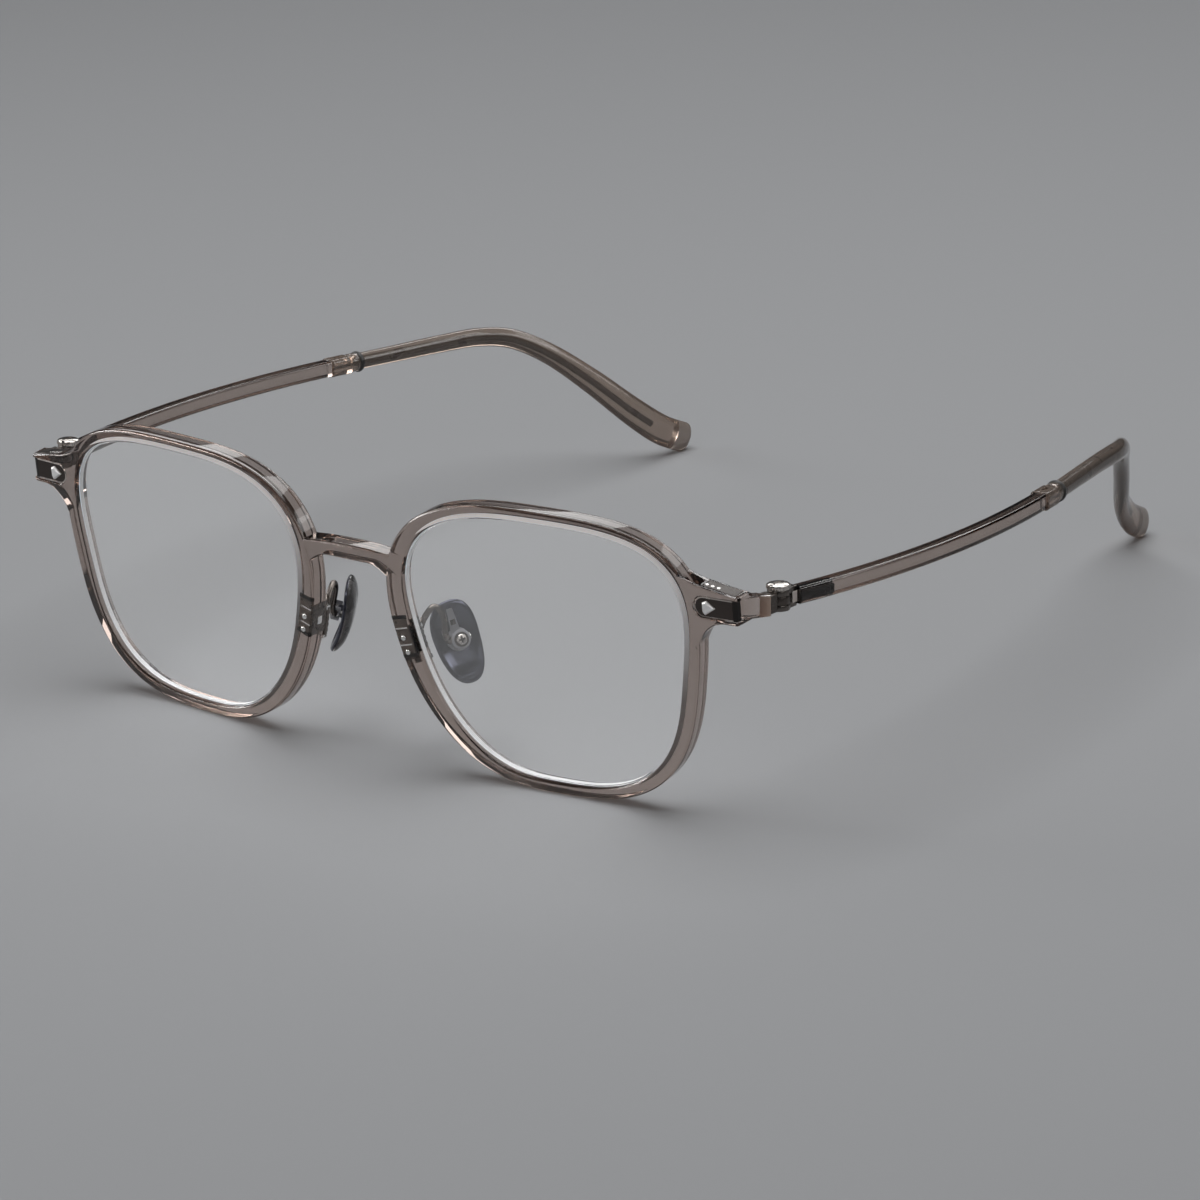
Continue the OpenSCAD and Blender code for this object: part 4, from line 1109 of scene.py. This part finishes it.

# %% [markdown]
# The arm is a bent wire, a tube along a spline in an upright loop, which an optician bends to fit. It ends in
# a round clear box that takes the pad's lug, with a small crossed screw on its back; a dark disc under the
# screw's slots is painted shade. Inside the pad's back lies a stiff plate: a round boss with a tab and a
# square hole, whose floor is a dark sheet of painted shade.

# %% Arms, boxes and pins of the pads
PIN_R, BOX_INNER, BOX_WALL, ARM_D = 0.42, 1.9, 0.45, 1.0
BOX_BACK, BOX_FRONT, BOX_SIDE = PIN_X + 0.9, PIN_X - 0.55, BOX_INNER / 2 + BOX_WALL
CUP = [(1.5, BOX_FRONT), (1.6, BOX_FRONT + 0.12), (1.6, BOX_BACK - 0.3), (1.52, BOX_BACK - 0.12),
       (1.35, BOX_BACK - 0.02), (1.2, BOX_BACK)]
PIN_PROFILE = [(PIN_R - 0.08, -BOX_SIDE), (PIN_R, -BOX_SIDE + 0.08), (PIN_R, BOX_SIDE), (PIN_R + 0.2, BOX_SIDE),
               (PIN_R + 0.25, BOX_SIDE + 0.08), (PIN_R + 0.16, BOX_SIDE + 0.28), (PIN_R - 0.1, BOX_SIDE + 0.35)]
BOX_SCREW = [(0.74, 0.0), (0.82, 0.08), (0.82, 0.26), (0.75, 0.33), (0.5, 0.36), (0.25, 0.37), (0.02, 0.375)]
# Profile of the dark disc under the screw's slots, painted shade.
SLOT_SHADE_PROFILE = [(0.55, 0.1), (0.55, 0.175), (0.02, 0.176)]
WASHER = [(0.7, 0.0), (1.12, 0.0), (1.16, 0.06), (1.12, 0.14), (0.7, 0.15)]
BOSS = [(1.75, 0.25), (1.85, 0.35), (1.85, 0.75), (1.75, 0.85), (1.6, 0.88)]


def arm(side):
    angle = CLIP_TOP + 8.5
    foot = outline(angle) + outline_normal(angle) * 2
    start = front_point(foot[0], RIM_DEPTH + 0.82, foot[1])
    out = front_point(foot[0], RIM_DEPTH + 1.82, foot[1] + 0.2)
    end = pad_point(PIN_X + 0.3, -BOX_SIDE - 0.02, PIN_Z + 0.4)
    inward = unit(pad_point(0, 1, 0) - pad_point(0, 0, 0))
    back = unit(front_point(0, 1, 0) - front_point(0, 0, 0))
    high = LENS_Z + 1.9
    line = np.array([start, out, (mix(out[0], end[0], 0.1), out[1] + 0.7, high - 1.4),
                     (mix(out[0], end[0], 0.3), mix(out[1] + 0.7, end[1], 0.5), high),
                     (mix(out[0], end[0], 0.6), end[1] - 0.6, high - 1.4),
                     (end[0] - 0.4, end[1] - 0.9, mix(high - 1.4, end[2], 0.7)), end - inward * 0.5, end])
    a = np.radians(np.arange(24) * 15)[:, None]
    rings = []
    for s in np.linspace(0, len(line) - 1, 113):
        way = mix(back, curve_dir(line, s), min(1, s / 0.5))
        way = unit(mix(way, inward, min(1, max(0, (s - 5.6) / 0.6))))
        across = unit(np.cross(way, [1.0, 0, 0]))
        up = np.cross(across, way)
        rings.append(curve(line, s) + (across * np.cos(a) + up * np.sin(a)) * ARM_D / 2)
    return smooth(skin("arm", rings, side), 40)


def facing_back(obj, x0=0.0):
    """Lays a part that was turned upright on the pad's back, x0 behind its middle and at the pin's height."""
    return into_place(obj, lambda x, y, z: np.stack([x0 + z, y, PIN_Z - x], -1))


def pad_box(side):
    half = BOX_INNER / 2
    box = facing_back(turned("box", CUP))
    box = cut(box, block("inside", (BOX_FRONT - 1, BOX_BACK - 0.22), (-half, half), (PIN_Z - 3, PIN_Z + 3), 0))
    box = cut(box, tube_bore(PIN_X, PIN_Z, PIN_R + PLAY, -5, 5))
    head = turned("box_screw", BOX_SCREW, 40)
    for half_x, half_y in ((0.16, 0.52), (0.52, 0.16)):
        cut(head, block("slot", (-half_x, half_x), (-half_y, half_y), (0.16, 0.6), 0))
    # The dark disc under the slots is painted shade in the cross slots.
    parts = head, turned("slot_painted_shade", SLOT_SHADE_PROFILE, 40), turned("washer", WASHER, 40)
    head, slot_shade, washer = (facing_back(part, BOX_BACK - 0.05) for part in parts)
    whole = join("box", box, head, join("dark_parts", slot_shade, washer))
    return smooth(into_place(whole, pad_point, side), 35)


def pad_pin(side):
    pin = turned("pin", PIN_PROFILE, 40)
    into_place(pin, lambda x, y, z: pad_point(PIN_X + x, z, PIN_Z + y), side)
    facing_out(pin.data)
    return smooth(pin, 35)


def pad_core(side):
    """Stiff plate in the pad's back: a round boss and a tab that rises with the dish, with a square hole; the
    hole's floor is a dark sheet, painted shade.
    """
    boss = facing_back(turned("boss", BOSS, 48))
    ends = ((PIN_Z + 1.2, 0.25, 0.85, 0.8), (PIN_Z + 5.2, 0.7, 1.35, 0.5))
    tab = hull_of("tab", [(x, y, z) for z, x0, x1, w in ends for x in (x0, x1) for y in (-w, w)], 1, 0.1)
    tab = cut(tab, block("hole", (0.93, 2.0), (-0.42, 0.42), (PIN_Z + 2.35, PIN_Z + 3.2), 0))
    # The hole's floor is a dark sheet of painted shade.
    hole_shade = block("hole_painted_shade", (0.85, 0.935), (-0.41, 0.41), (PIN_Z + 2.36, PIN_Z + 3.19), 0)
    return smooth(into_place(join("pad_core", unite(boss, tab), hole_shade), pad_point, side), 35)


arms, boxes, pad_pins, cores = both(arm), both(pad_box), both(pad_pin), both(pad_core)
print("arm:", len(arms[1].data.polygons), "box:", len(boxes[1].data.polygons), "faces")

# %% [markdown]
# ## Finishes
# The front is a clear plastic tinted smoke brown. Most of its colour comes from its depth: a thin edge is
# nearly clear and a thick corner is dark. A volume that absorbs light does exactly that, so the surface
# itself stays nearly colourless. Lamps would see such a piece as solid, so for shadows alone it is a thin
# tinted pane. Where the skin turns away from the eye, the light's way through it is longest, so the edges
# get painted shade, a darker colour. The bars carry a painted dark band along the top, a painted reflection
# of the dark end of the room. Polished plastic pipes light along the rim to the frosted lens seat. That is
# painted light, a weak glow strongest at the brow, and painted shade, a band that tones the seat down at the
# bottom.
# Every finish has a faint cloud in its colour, uneven gloss from handling and a very small ripple.

# %% Surface detail shared by the finishes


def surface_wear():
    """Faint ripples of a polished moulding and uneven gloss from handling."""
    tree = bpy.data.node_groups.new("Surface wear", "ShaderNodeTree")
    for label, value in (("Scale", 200.0), ("Gloss low", 0.03), ("Gloss high", 0.1)):
        socket = tree.interface.new_socket(name=label, in_out="INPUT", socket_type="NodeSocketFloat")
        socket.default_value = value
    for label in ("Roughness", "Height"):
        tree.interface.new_socket(name=label, in_out="OUTPUT", socket_type="NodeSocketFloat")
    given = tree.nodes.new("NodeGroupInput").outputs
    where = add(tree, "ShaderNodeTexCoord", out="Object")
    noise = add(tree, "ShaderNodeTexNoise", {"Vector": where, "Scale": given["Scale"], "Detail": 3})
    finer = times(tree, given["Scale"], 6.0)
    fine = add(tree, "ShaderNodeTexNoise", {"Vector": where, "Scale": finer, "Detail": 2})
    gloss = add(tree, "ShaderNodeMapRange", {
        "Value": noise, "From Min": 0.35, "From Max": 0.7, "To Min": given["Gloss low"],
        "To Max": given["Gloss high"]})
    add(tree, "NodeGroupOutput", {"Roughness": gloss, "Height": fine})
    return tree


WEAR = surface_wear()


def ramp(tree, share, first, last, start=0.0, stop=1.0):
    """Colour that goes from the first to the last while the share goes from start to stop."""
    colour = add(tree, "ShaderNodeValToRGB", {"Fac": share})
    for element, position, tint in zip(colour.node.color_ramp.elements, (start, stop), (first, last)):
        element.position = position
        element.color = (*tint, 1)
    return colour


def material(name, colour, shift, low, high, scale, bump, **sockets):
    """A Principled material with a slightly uneven colour, gloss and surface; sockets are set as they are."""
    made = bpy.data.materials.new(name)
    made.use_nodes = True
    tree = made.node_tree
    gloss = add(tree, "ShaderNodeGroup", {"Scale": scale, "Gloss low": low, "Gloss high": high}, node_tree=WEAR)
    where = add(tree, "ShaderNodeTexCoord", out="Object")
    cloud = add(tree, "ShaderNodeTexNoise", {"Vector": where, "Scale": scale * 0.4})
    deep, light = [c * (1 - shift) for c in colour], [min(1, c * (1 + shift)) for c in colour]
    ripple = add(tree, "ShaderNodeBump", {
        "Strength": bump, "Distance": 0.00005, "Height": gloss.node.outputs["Height"]})
    feed(tree.nodes["Principled BSDF"], {
        "Base Color": ramp(tree, cloud, deep, light, 0.3, 0.7), "Roughness": gloss, "Normal": ripple,
        **{label.replace("_", " "): value for label, value in sockets.items()}})
    return made


def let_light_pass(made, tint):
    """For shadows only, the piece is a thin tinted pane."""
    tree = made.node_tree
    feed(tree.nodes["Material Output"], {"Surface": add(tree, "ShaderNodeMixShader", {
        "Fac": add(tree, "ShaderNodeLightPath", out="Is Shadow Ray"),
        1: tree.nodes["Principled BSDF"].outputs[0],
        2: add(tree, "ShaderNodeBsdfTransparent", {"Color": (*tint, 1)})})})


def absorb(made, colour, density):
    """Fills the piece with something that takes light away with depth."""
    volume = add(made.node_tree, "ShaderNodeVolumeAbsorption", {"Color": (*colour, 1), "Density": density})
    feed(made.node_tree.nodes["Material Output"], {"Volume": volume})


def blend(made, share, tint):
    """Draws a material's colour towards a tint by a share between 0 and 1."""
    shader = made.node_tree.nodes["Principled BSDF"]
    before = shader.inputs["Base Color"].links[0].from_socket
    feed(shader, {"Base Color": add(made.node_tree, "ShaderNodeMix", {
        0: share, 6: before, 7: (*tint, 1)}, 2, data_type="RGBA")})


def ranged(tree, value, low, high):
    return add(tree, "ShaderNodeMapRange", {"Value": value, "From Min": low, "From Max": high})


def painted_edge_shade(made, tint, low, high):
    """Painted shade: a darker colour where the skin turns away from the eye, where light has the longest way
    through it.
    """
    weight = add(made.node_tree, "ShaderNodeLayerWeight", {"Blend": 0.5}, "Facing")
    blend(made, ranged(made.node_tree, weight, low, high), tint)


def height_share(tree, way, low, high):
    """A share that goes from 0 to 1 between two heights, in millimetres, measured along a way."""
    where = add(tree, "ShaderNodeTexCoord", out="Object")
    across = add(tree, "ShaderNodeVectorMath", {0: where, 1: way}, "Value", operation="DOT_PRODUCT")
    return ranged(tree, across, low * MM, high * MM)


# Painted shade: draws a colour towards a darker tint between two heights.
def band(made, way, low, high, tint):
    blend(made, height_share(made.node_tree, way, low, high), tint)


def painted_seat_glow(made, low, high, tint):
    """Painted light: a glow on the seat, for the light that the clear plastic pipes to it where the rim is lit
    from above.
    """
    glow = ramp(made.node_tree, height_share(made.node_tree, UP, low, high), (0, 0, 0), tint)
    feed(made.node_tree.nodes["Principled BSDF"], {"Emission Color": glow, "Emission Strength": 1.0})


print("node group:", WEAR.name, len(WEAR.nodes), "nodes")

# %% [markdown]
# Each finish is one line: its name, its colour, how far the colour shifts, the lowest and highest roughness,
# the scale of the detail, the height of the ripple, and then what makes it glass, plastic or metal. The lens
# glass has a faint glow of its own, painted light for the haze that a real pair of lenses shows in a bright room.

# %% The finishes
UP = (0, 0, 1)
CLEAR = {"IOR": 1.5, "Transmission_Weight": 1.0}
# Tint of the painted shade on edges that turn away from the eye.
EDGE_SHADE_BROWN = (0.1, 0.07, 0.055)
BAR_UP = (0, math.sin(SLOPE), math.cos(SLOPE))
BAR_MIDDLE = HINGE[1] * math.sin(SLOPE) + HINGE[2] * math.cos(SLOPE)

smoke = material("smoke_plastic", (0.97, 0.955, 0.945), 0.01, 0.01, 0.03, 180, 0.02, **CLEAR)
absorb(smoke, (0.5, 0.34, 0.25), 305.0)
painted_edge_shade(smoke, EDGE_SHADE_BROWN, 0.52, 0.92)
let_light_pass(smoke, (0.52, 0.49, 0.47))
deep_smoke = material("deep_smoke_bar", (0.95, 0.935, 0.925), 0.01, 0.01, 0.03, 180, 0.02, **CLEAR)
absorb(deep_smoke, (0.5, 0.35, 0.26), 400.0)
painted_edge_shade(deep_smoke, EDGE_SHADE_BROWN, 0.55, 0.95)
# Painted reflection: a dark band along the bars' top, for the dark end of the room that they would mirror.
band(deep_smoke, BAR_UP, BAR_MIDDLE + 0.8, BAR_MIDDLE + 1.2, (0.17, 0.13, 0.11))
let_light_pass(deep_smoke, (0.4, 0.36, 0.34))
arm_end = material("matt_arm_end", (0.85, 0.75, 0.67), 0.04, 0.4, 0.6, 300, 0.1)
seat_white = material("lens_seat", (0.86, 0.94, 1.0), 0.01, 0.3, 0.45, 400, 0.1)
# Painted light: the seat glows, most at the brow.
painted_seat_glow(seat_white, LENS_Z - 4, LENS_Z + 14, (0.23, 0.26, 0.285))
# Painted shade: the seat is toned down towards the bottom of the lens.
band(seat_white, UP, LENS_Z + 8, LENS_Z - 14, (0.42, 0.44, 0.46))
# Painted shade: the back walls of the grooves are near black, a dark line beside the white seat.
seat_back_shade = material("groove_back_painted_shade", (0.05, 0.04, 0.034), 0.05, 0.3, 0.45, 400, 0.1)

satin = material("satin_tip", (0.62, 0.53, 0.465), 0.02, 0.06, 0.12, 120, 0.02, IOR=1.5, Transmission_Weight=0.86)
absorb(satin, (0.5, 0.36, 0.27), 220.0)
let_light_pass(satin, (0.28, 0.24, 0.22))
clear_tip = material("pale_tip_cap", (0.42, 0.36, 0.32), 0.03, 0.08, 0.16, 120, 0.03,
                     IOR=1.5, Transmission_Weight=0.55)
let_light_pass(clear_tip, (0.35, 0.31, 0.29))

# Painted light: the lens glass glows faintly, so what is seen through the lenses looks a little brighter.
glass = material("lens_glass", (0.985, 0.988, 0.99), 0.003, 0.0, 0.004, 60, 0.0, Emission_Strength=0.023, **CLEAR)
let_light_pass(glass, (0.99, 0.99, 0.99))
ground = material("ground_edge", (0.95, 0.955, 0.965), 0.02, 0.3, 0.45, 400, 0.2, IOR=1.5, Transmission_Weight=0.3)
let_light_pass(ground, (0.9, 0.9, 0.91))

silicone = material("pad_silicone", (0.8, 0.78, 0.77), 0.03, 0.04, 0.1, 240, 0.03,
                    IOR=1.41, Transmission_Weight=0.92)
absorb(silicone, (0.4, 0.36, 0.34), 330.0)
let_light_pass(silicone, (0.6, 0.6, 0.62))
pad_back = material("pad_back", (0.06, 0.062, 0.082), 0.06, 0.14, 0.22, 200, 0.05, Metallic=0.85)
pad_insert = material("pad_insert", (0.33, 0.33, 0.35), 0.05, 0.1, 0.25, 300, 0.06,
                      IOR=1.45, Transmission_Weight=0.35)
let_light_pass(pad_insert, (0.6, 0.6, 0.6))

bright = material("bright_steel", (0.86, 0.85, 0.83), 0.03, 0.08, 0.2, 500, 0.1, Metallic=1.0)
steel = material("hinge_steel", (0.16, 0.142, 0.13), 0.06, 0.2, 0.34, 500, 0.15, Metallic=1.0)
bronze = material("dark_bronze", (0.17, 0.14, 0.12), 0.06, 0.2, 0.36, 500, 0.15, Metallic=0.9)
core = material("core_black", (0.02, 0.017, 0.015), 0.05, 0.15, 0.3, 200, 0.05, Metallic=0.5)
dark = material("dark_plate", (0.055, 0.046, 0.041), 0.06, 0.2, 0.34, 400, 0.15, Metallic=0.6)
rubber = material("black_rubber", (0.018, 0.017, 0.016), 0.2, 0.3, 0.45, 300, 0.2)
hinge_dark = material("hinge_dark", (0.1, 0.085, 0.076), 0.06, 0.2, 0.34, 500, 0.15, Metallic=0.8)
# Lighter steel for the plate's eased edges, a painted highlight.
edge_highlight_steel = material("edge_highlight_steel", (0.66, 0.61, 0.57), 0.05, 0.2, 0.34, 500, 0.1, Metallic=0.7)
plate_metal = material("plate_metal", (0.07, 0.058, 0.052), 0.06, 0.16, 0.28, 400, 0.1, Metallic=0.85)
# Pale matt colour of the painted highlight on the hinge web.
web_highlight = material("web_painted_highlight", (0.95, 0.86, 0.8), 0.05, 0.25, 0.4, 400, 0.1)
rivet_steel = material("satin_rivet", (0.96, 0.95, 0.94), 0.03, 0.42, 0.52, 300, 0.1, Metallic=1.0)
wire_brown = material("wire_core", (0.06, 0.046, 0.037), 0.06, 0.25, 0.4, 300, 0.1, Metallic=0.4)
knurled = material("knurled_steel", (0.66, 0.62, 0.585), 0.08, 0.12, 0.3, 600, 0.2, Metallic=1.0)
screws = both(lambda side: hinge_screw(side, knurled))
pins = end_pins(bright)
print("screw:", len(screws[1].data.polygons), "pins:", len(pins.data.polygons), "faces")

# %% [markdown]
# ## Every piece gets its finish, its body and its place
# A piece rides on the body that moves it and stands for one of the solids. The front needs one more step
# first: the walls of the lens grooves and the rear ends of the arms are found on the joined mesh.

# %% Finishes on the new pieces
GRID_PER_MM = 500


def dress(obj, body, replaced, slot, *finishes):
    which = np.zeros(len(obj.data.polygons), np.int32)
    obj.data.polygons.foreach_get("material_index", which)
    obj.data.materials.clear()
    for finish in finishes:
        obj.data.materials.append(finish)
    obj.data.polygons.foreach_set("material_index", np.minimum(which, len(finishes) - 1))
    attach(obj, body)
    if replaced:
        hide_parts(*replaced)


def grid_key(p):
    return tuple(np.round(p * GRID_PER_MM).astype(int))


def seat_faces(obj):
    """Gives the front walls of the lens grooves, where the frosted lens edge shines through, their own finish; the
    back walls get painted shade, and the rear ends of the arms a matt finish.
    """
    front_lip, root, back_lip = [
        {grid_key(p * [k, 1, 1]) for k in SIDES for p in rim_point(RIM_ANGLES, n, b)}
        for n, b in ((0, GROOVE_B - GROOVE_HALF), (BEVEL + SEAT, GROOVE_B), (0, GROOVE_B + GROOVE_HALF))]
    keys = [grid_key(np.array(vert.co) / MM) for vert in obj.data.vertices]
    near = [key in front_lip or key in root for key in keys]
    rear = [key in back_lip or key in root for key in keys]

    def place_of(face):
        if all(near[v] for v in face.vertices):
            return 1
        # Back walls of the grooves: painted shade.
        if all(rear[v] for v in face.vertices):
            return 3
        x, y, z = np.array(face.center) / MM
        along = (y - HINGE[1]) * math.cos(SLOPE) - (z - HINGE[2]) * math.sin(SLOPE)
        return 2 if abs(abs(x) - HINGE[0]) < 1.6 and -4.5 < along < -3.4 and face.normal.y > 0.3 else 0

    paint(obj, place_of)
    print("groove faces:", sum(face.material_index == 1 for face in obj.data.polygons))


seat_faces(front)
dress(front, "front", ["front_frame"], "taupe_plastic", smoke, seat_white, arm_end, seat_back_shade)
dress(pins, "front", None, "bright_metal", bright)
for side, word in SIDES.items():
    for made in (cores, plates, rivets, strips, front_hinges, rear_hinges, collars, rings_black, wires, brackets,
                 clip_heads, arms, boxes, pad_pins):
        made[side].name = word + "_" + made[side].name.split(".")[0]
    dress(lenses[side], "front", ["lens_" + word], "lens_glass", glass, ground)
    dress(bars[side], "temple_" + word, ["temple_bar_" + word], "taupe_plastic", deep_smoke)
    dress(tips[side], "temple_" + word, ["temple_tip_" + word], "tip_plastic", satin)
    dress(caps[side], "temple_" + word, ["tip_end_" + word], "tip_plastic", clear_tip)
    dress(pads[side], "pad_" + word, ["nose_pad_" + word], "pad_silicone", silicone, pad_back)
    dress(cores[side], "pad_" + word, None, "pad_silicone", pad_insert, dark)
    dress(plates[side], "front", ["end_plate_" + word], "dark_metal", plate_metal, edge_highlight_steel, core)
    dress(rivets[side], "front", ["end_rivet_" + word], "bright_metal", rivet_steel)
    dress(strips[side], "front", ["end_insert_" + word], "dark_metal", dark)
    dress(front_hinges[side], "front", ["front_hinge_" + word], "hinge_metal", hinge_dark)
    dress(rear_hinges[side], "temple_" + word, ["rear_hinge_" + word], "hinge_metal", steel, core, web_highlight)
    dress(screws[side], "front", ["hinge_screw_" + word], "bright_metal", knurled)
    dress(collars[side], "temple_" + word, ["collar_" + word], "taupe_plastic", satin)
    dress(rings_black[side], "temple_" + word, ["black_ring_" + word], "black_rubber", satin, rubber)
    dress(wires[side], "temple_" + word, ["tip_wire_" + word], "dark_metal", wire_brown)
    dress(brackets[side], "front", ["pad_clip_" + word], "dark_metal", bronze, steel, bright, core)
    dress(clip_heads[side], "front", ["clip_screws_" + word], "bright_metal", bright)
    dress(arms[side], "front", ["pad_arm_" + word], "hinge_metal", steel)
    dress(boxes[side], "front", ["pad_box_" + word], "pad_silicone", pad_insert, knurled, dark)
    dress(pad_pins[side], "front", ["pad_pin_" + word], "bright_metal", bright)

# %% [markdown]
# ## The studio
# The glasses stand on one grey sheet that has no visible end. One wide soft lamp hangs above and makes the
# pool of light and the soft shadows, two small ones fill in from the front and the side, and a weak grey
# world does the rest. Long soft boxes behind and beside the glasses are seen only as reflections. They draw
# the bright lines along the edges. Two of the lamps are kept from showing through the clear plastic, where
# they would be hard white patches.

# %% Floor, lamps and world
FLOOR_GREY, WORLD_GREY, FLOOR_HALF = (0.33, 0.335, 0.345), (0.8, 0.82, 0.85), 3
floor_mesh = bpy.data.meshes.new("floor")
floor_mesh.from_pydata([(x * FLOOR_HALF, y * FLOOR_HALF, 0) for x, y in ((-1, -1), (1, -1), (1, 1), (-1, 1))],
                       [], [(0, 1, 2, 3)])
floor = placed("floor", floor_mesh)
floor_finish = bpy.data.materials.new("grey_sheet")
floor_finish.use_nodes = True
feed(floor_finish.node_tree.nodes["Principled BSDF"], {
    "Base Color": (*FLOOR_GREY, 1), "Roughness": 0.9, "Specular IOR Level": 0.2})
floor_mesh.materials.append(floor_finish)


def lamp(name, location, target, size, power):
    obj = placed(name, bpy.data.lights.new(name, "AREA"))
    obj.data.shape = "DISK"
    obj.data.size = size
    obj.data.energy = power
    obj.location = location
    obj.rotation_euler = (Vector(target) - Vector(location)).to_track_quat("-Z", "Y").to_euler()
    return obj


def glint(name, location, target, size, power):
    """A soft box that shows only as a reflection, to draw the edges without lighting the floor."""
    obj = lamp(name, location, target, size[0], power)
    obj.data.shape = "RECTANGLE"
    obj.data.size_y = size[1]
    obj.visible_diffuse = False
    return obj


lamp("soft_top", (0.0, 0.06, 0.76), (0, 0.06, 0), 0.85, 5.95).visible_transmission = False
lamp("soft_front", (0.15, -0.95, 0.5), (0, -0.05, 0.02), 0.5, 0.7)
lamp("soft_left", (-0.75, -0.25, 0.35), (0, 0, 0.02), 0.3, 0.9)
glint("glint_back", (0.35, 1.05, 0.9), (0, 0, 0), (2.4, 0.3), 4.6)
glint("glint_left", (-0.9, -0.5, 0.35), (0, -0.05, 0), (0.9, 0.24), 5.0)
glint("glint_right", (0.9, 0.1, 0.5), (0, -0.03, 0), (1.3, 0.3), 3.0).visible_transmission = False
glint("panel_back", (-0.78, 1.0, 0.82), (0, 0, 0), (1.7, 0.3), 4.0)
world = bpy.data.worlds.new("world")
world.use_nodes = True
feed(world.node_tree.nodes["Background"], {"Color": (*WORLD_GREY, 1), "Strength": 0.05})
bpy.context.scene.world = world
bpy.context.scene.view_settings.view_transform = "Standard"
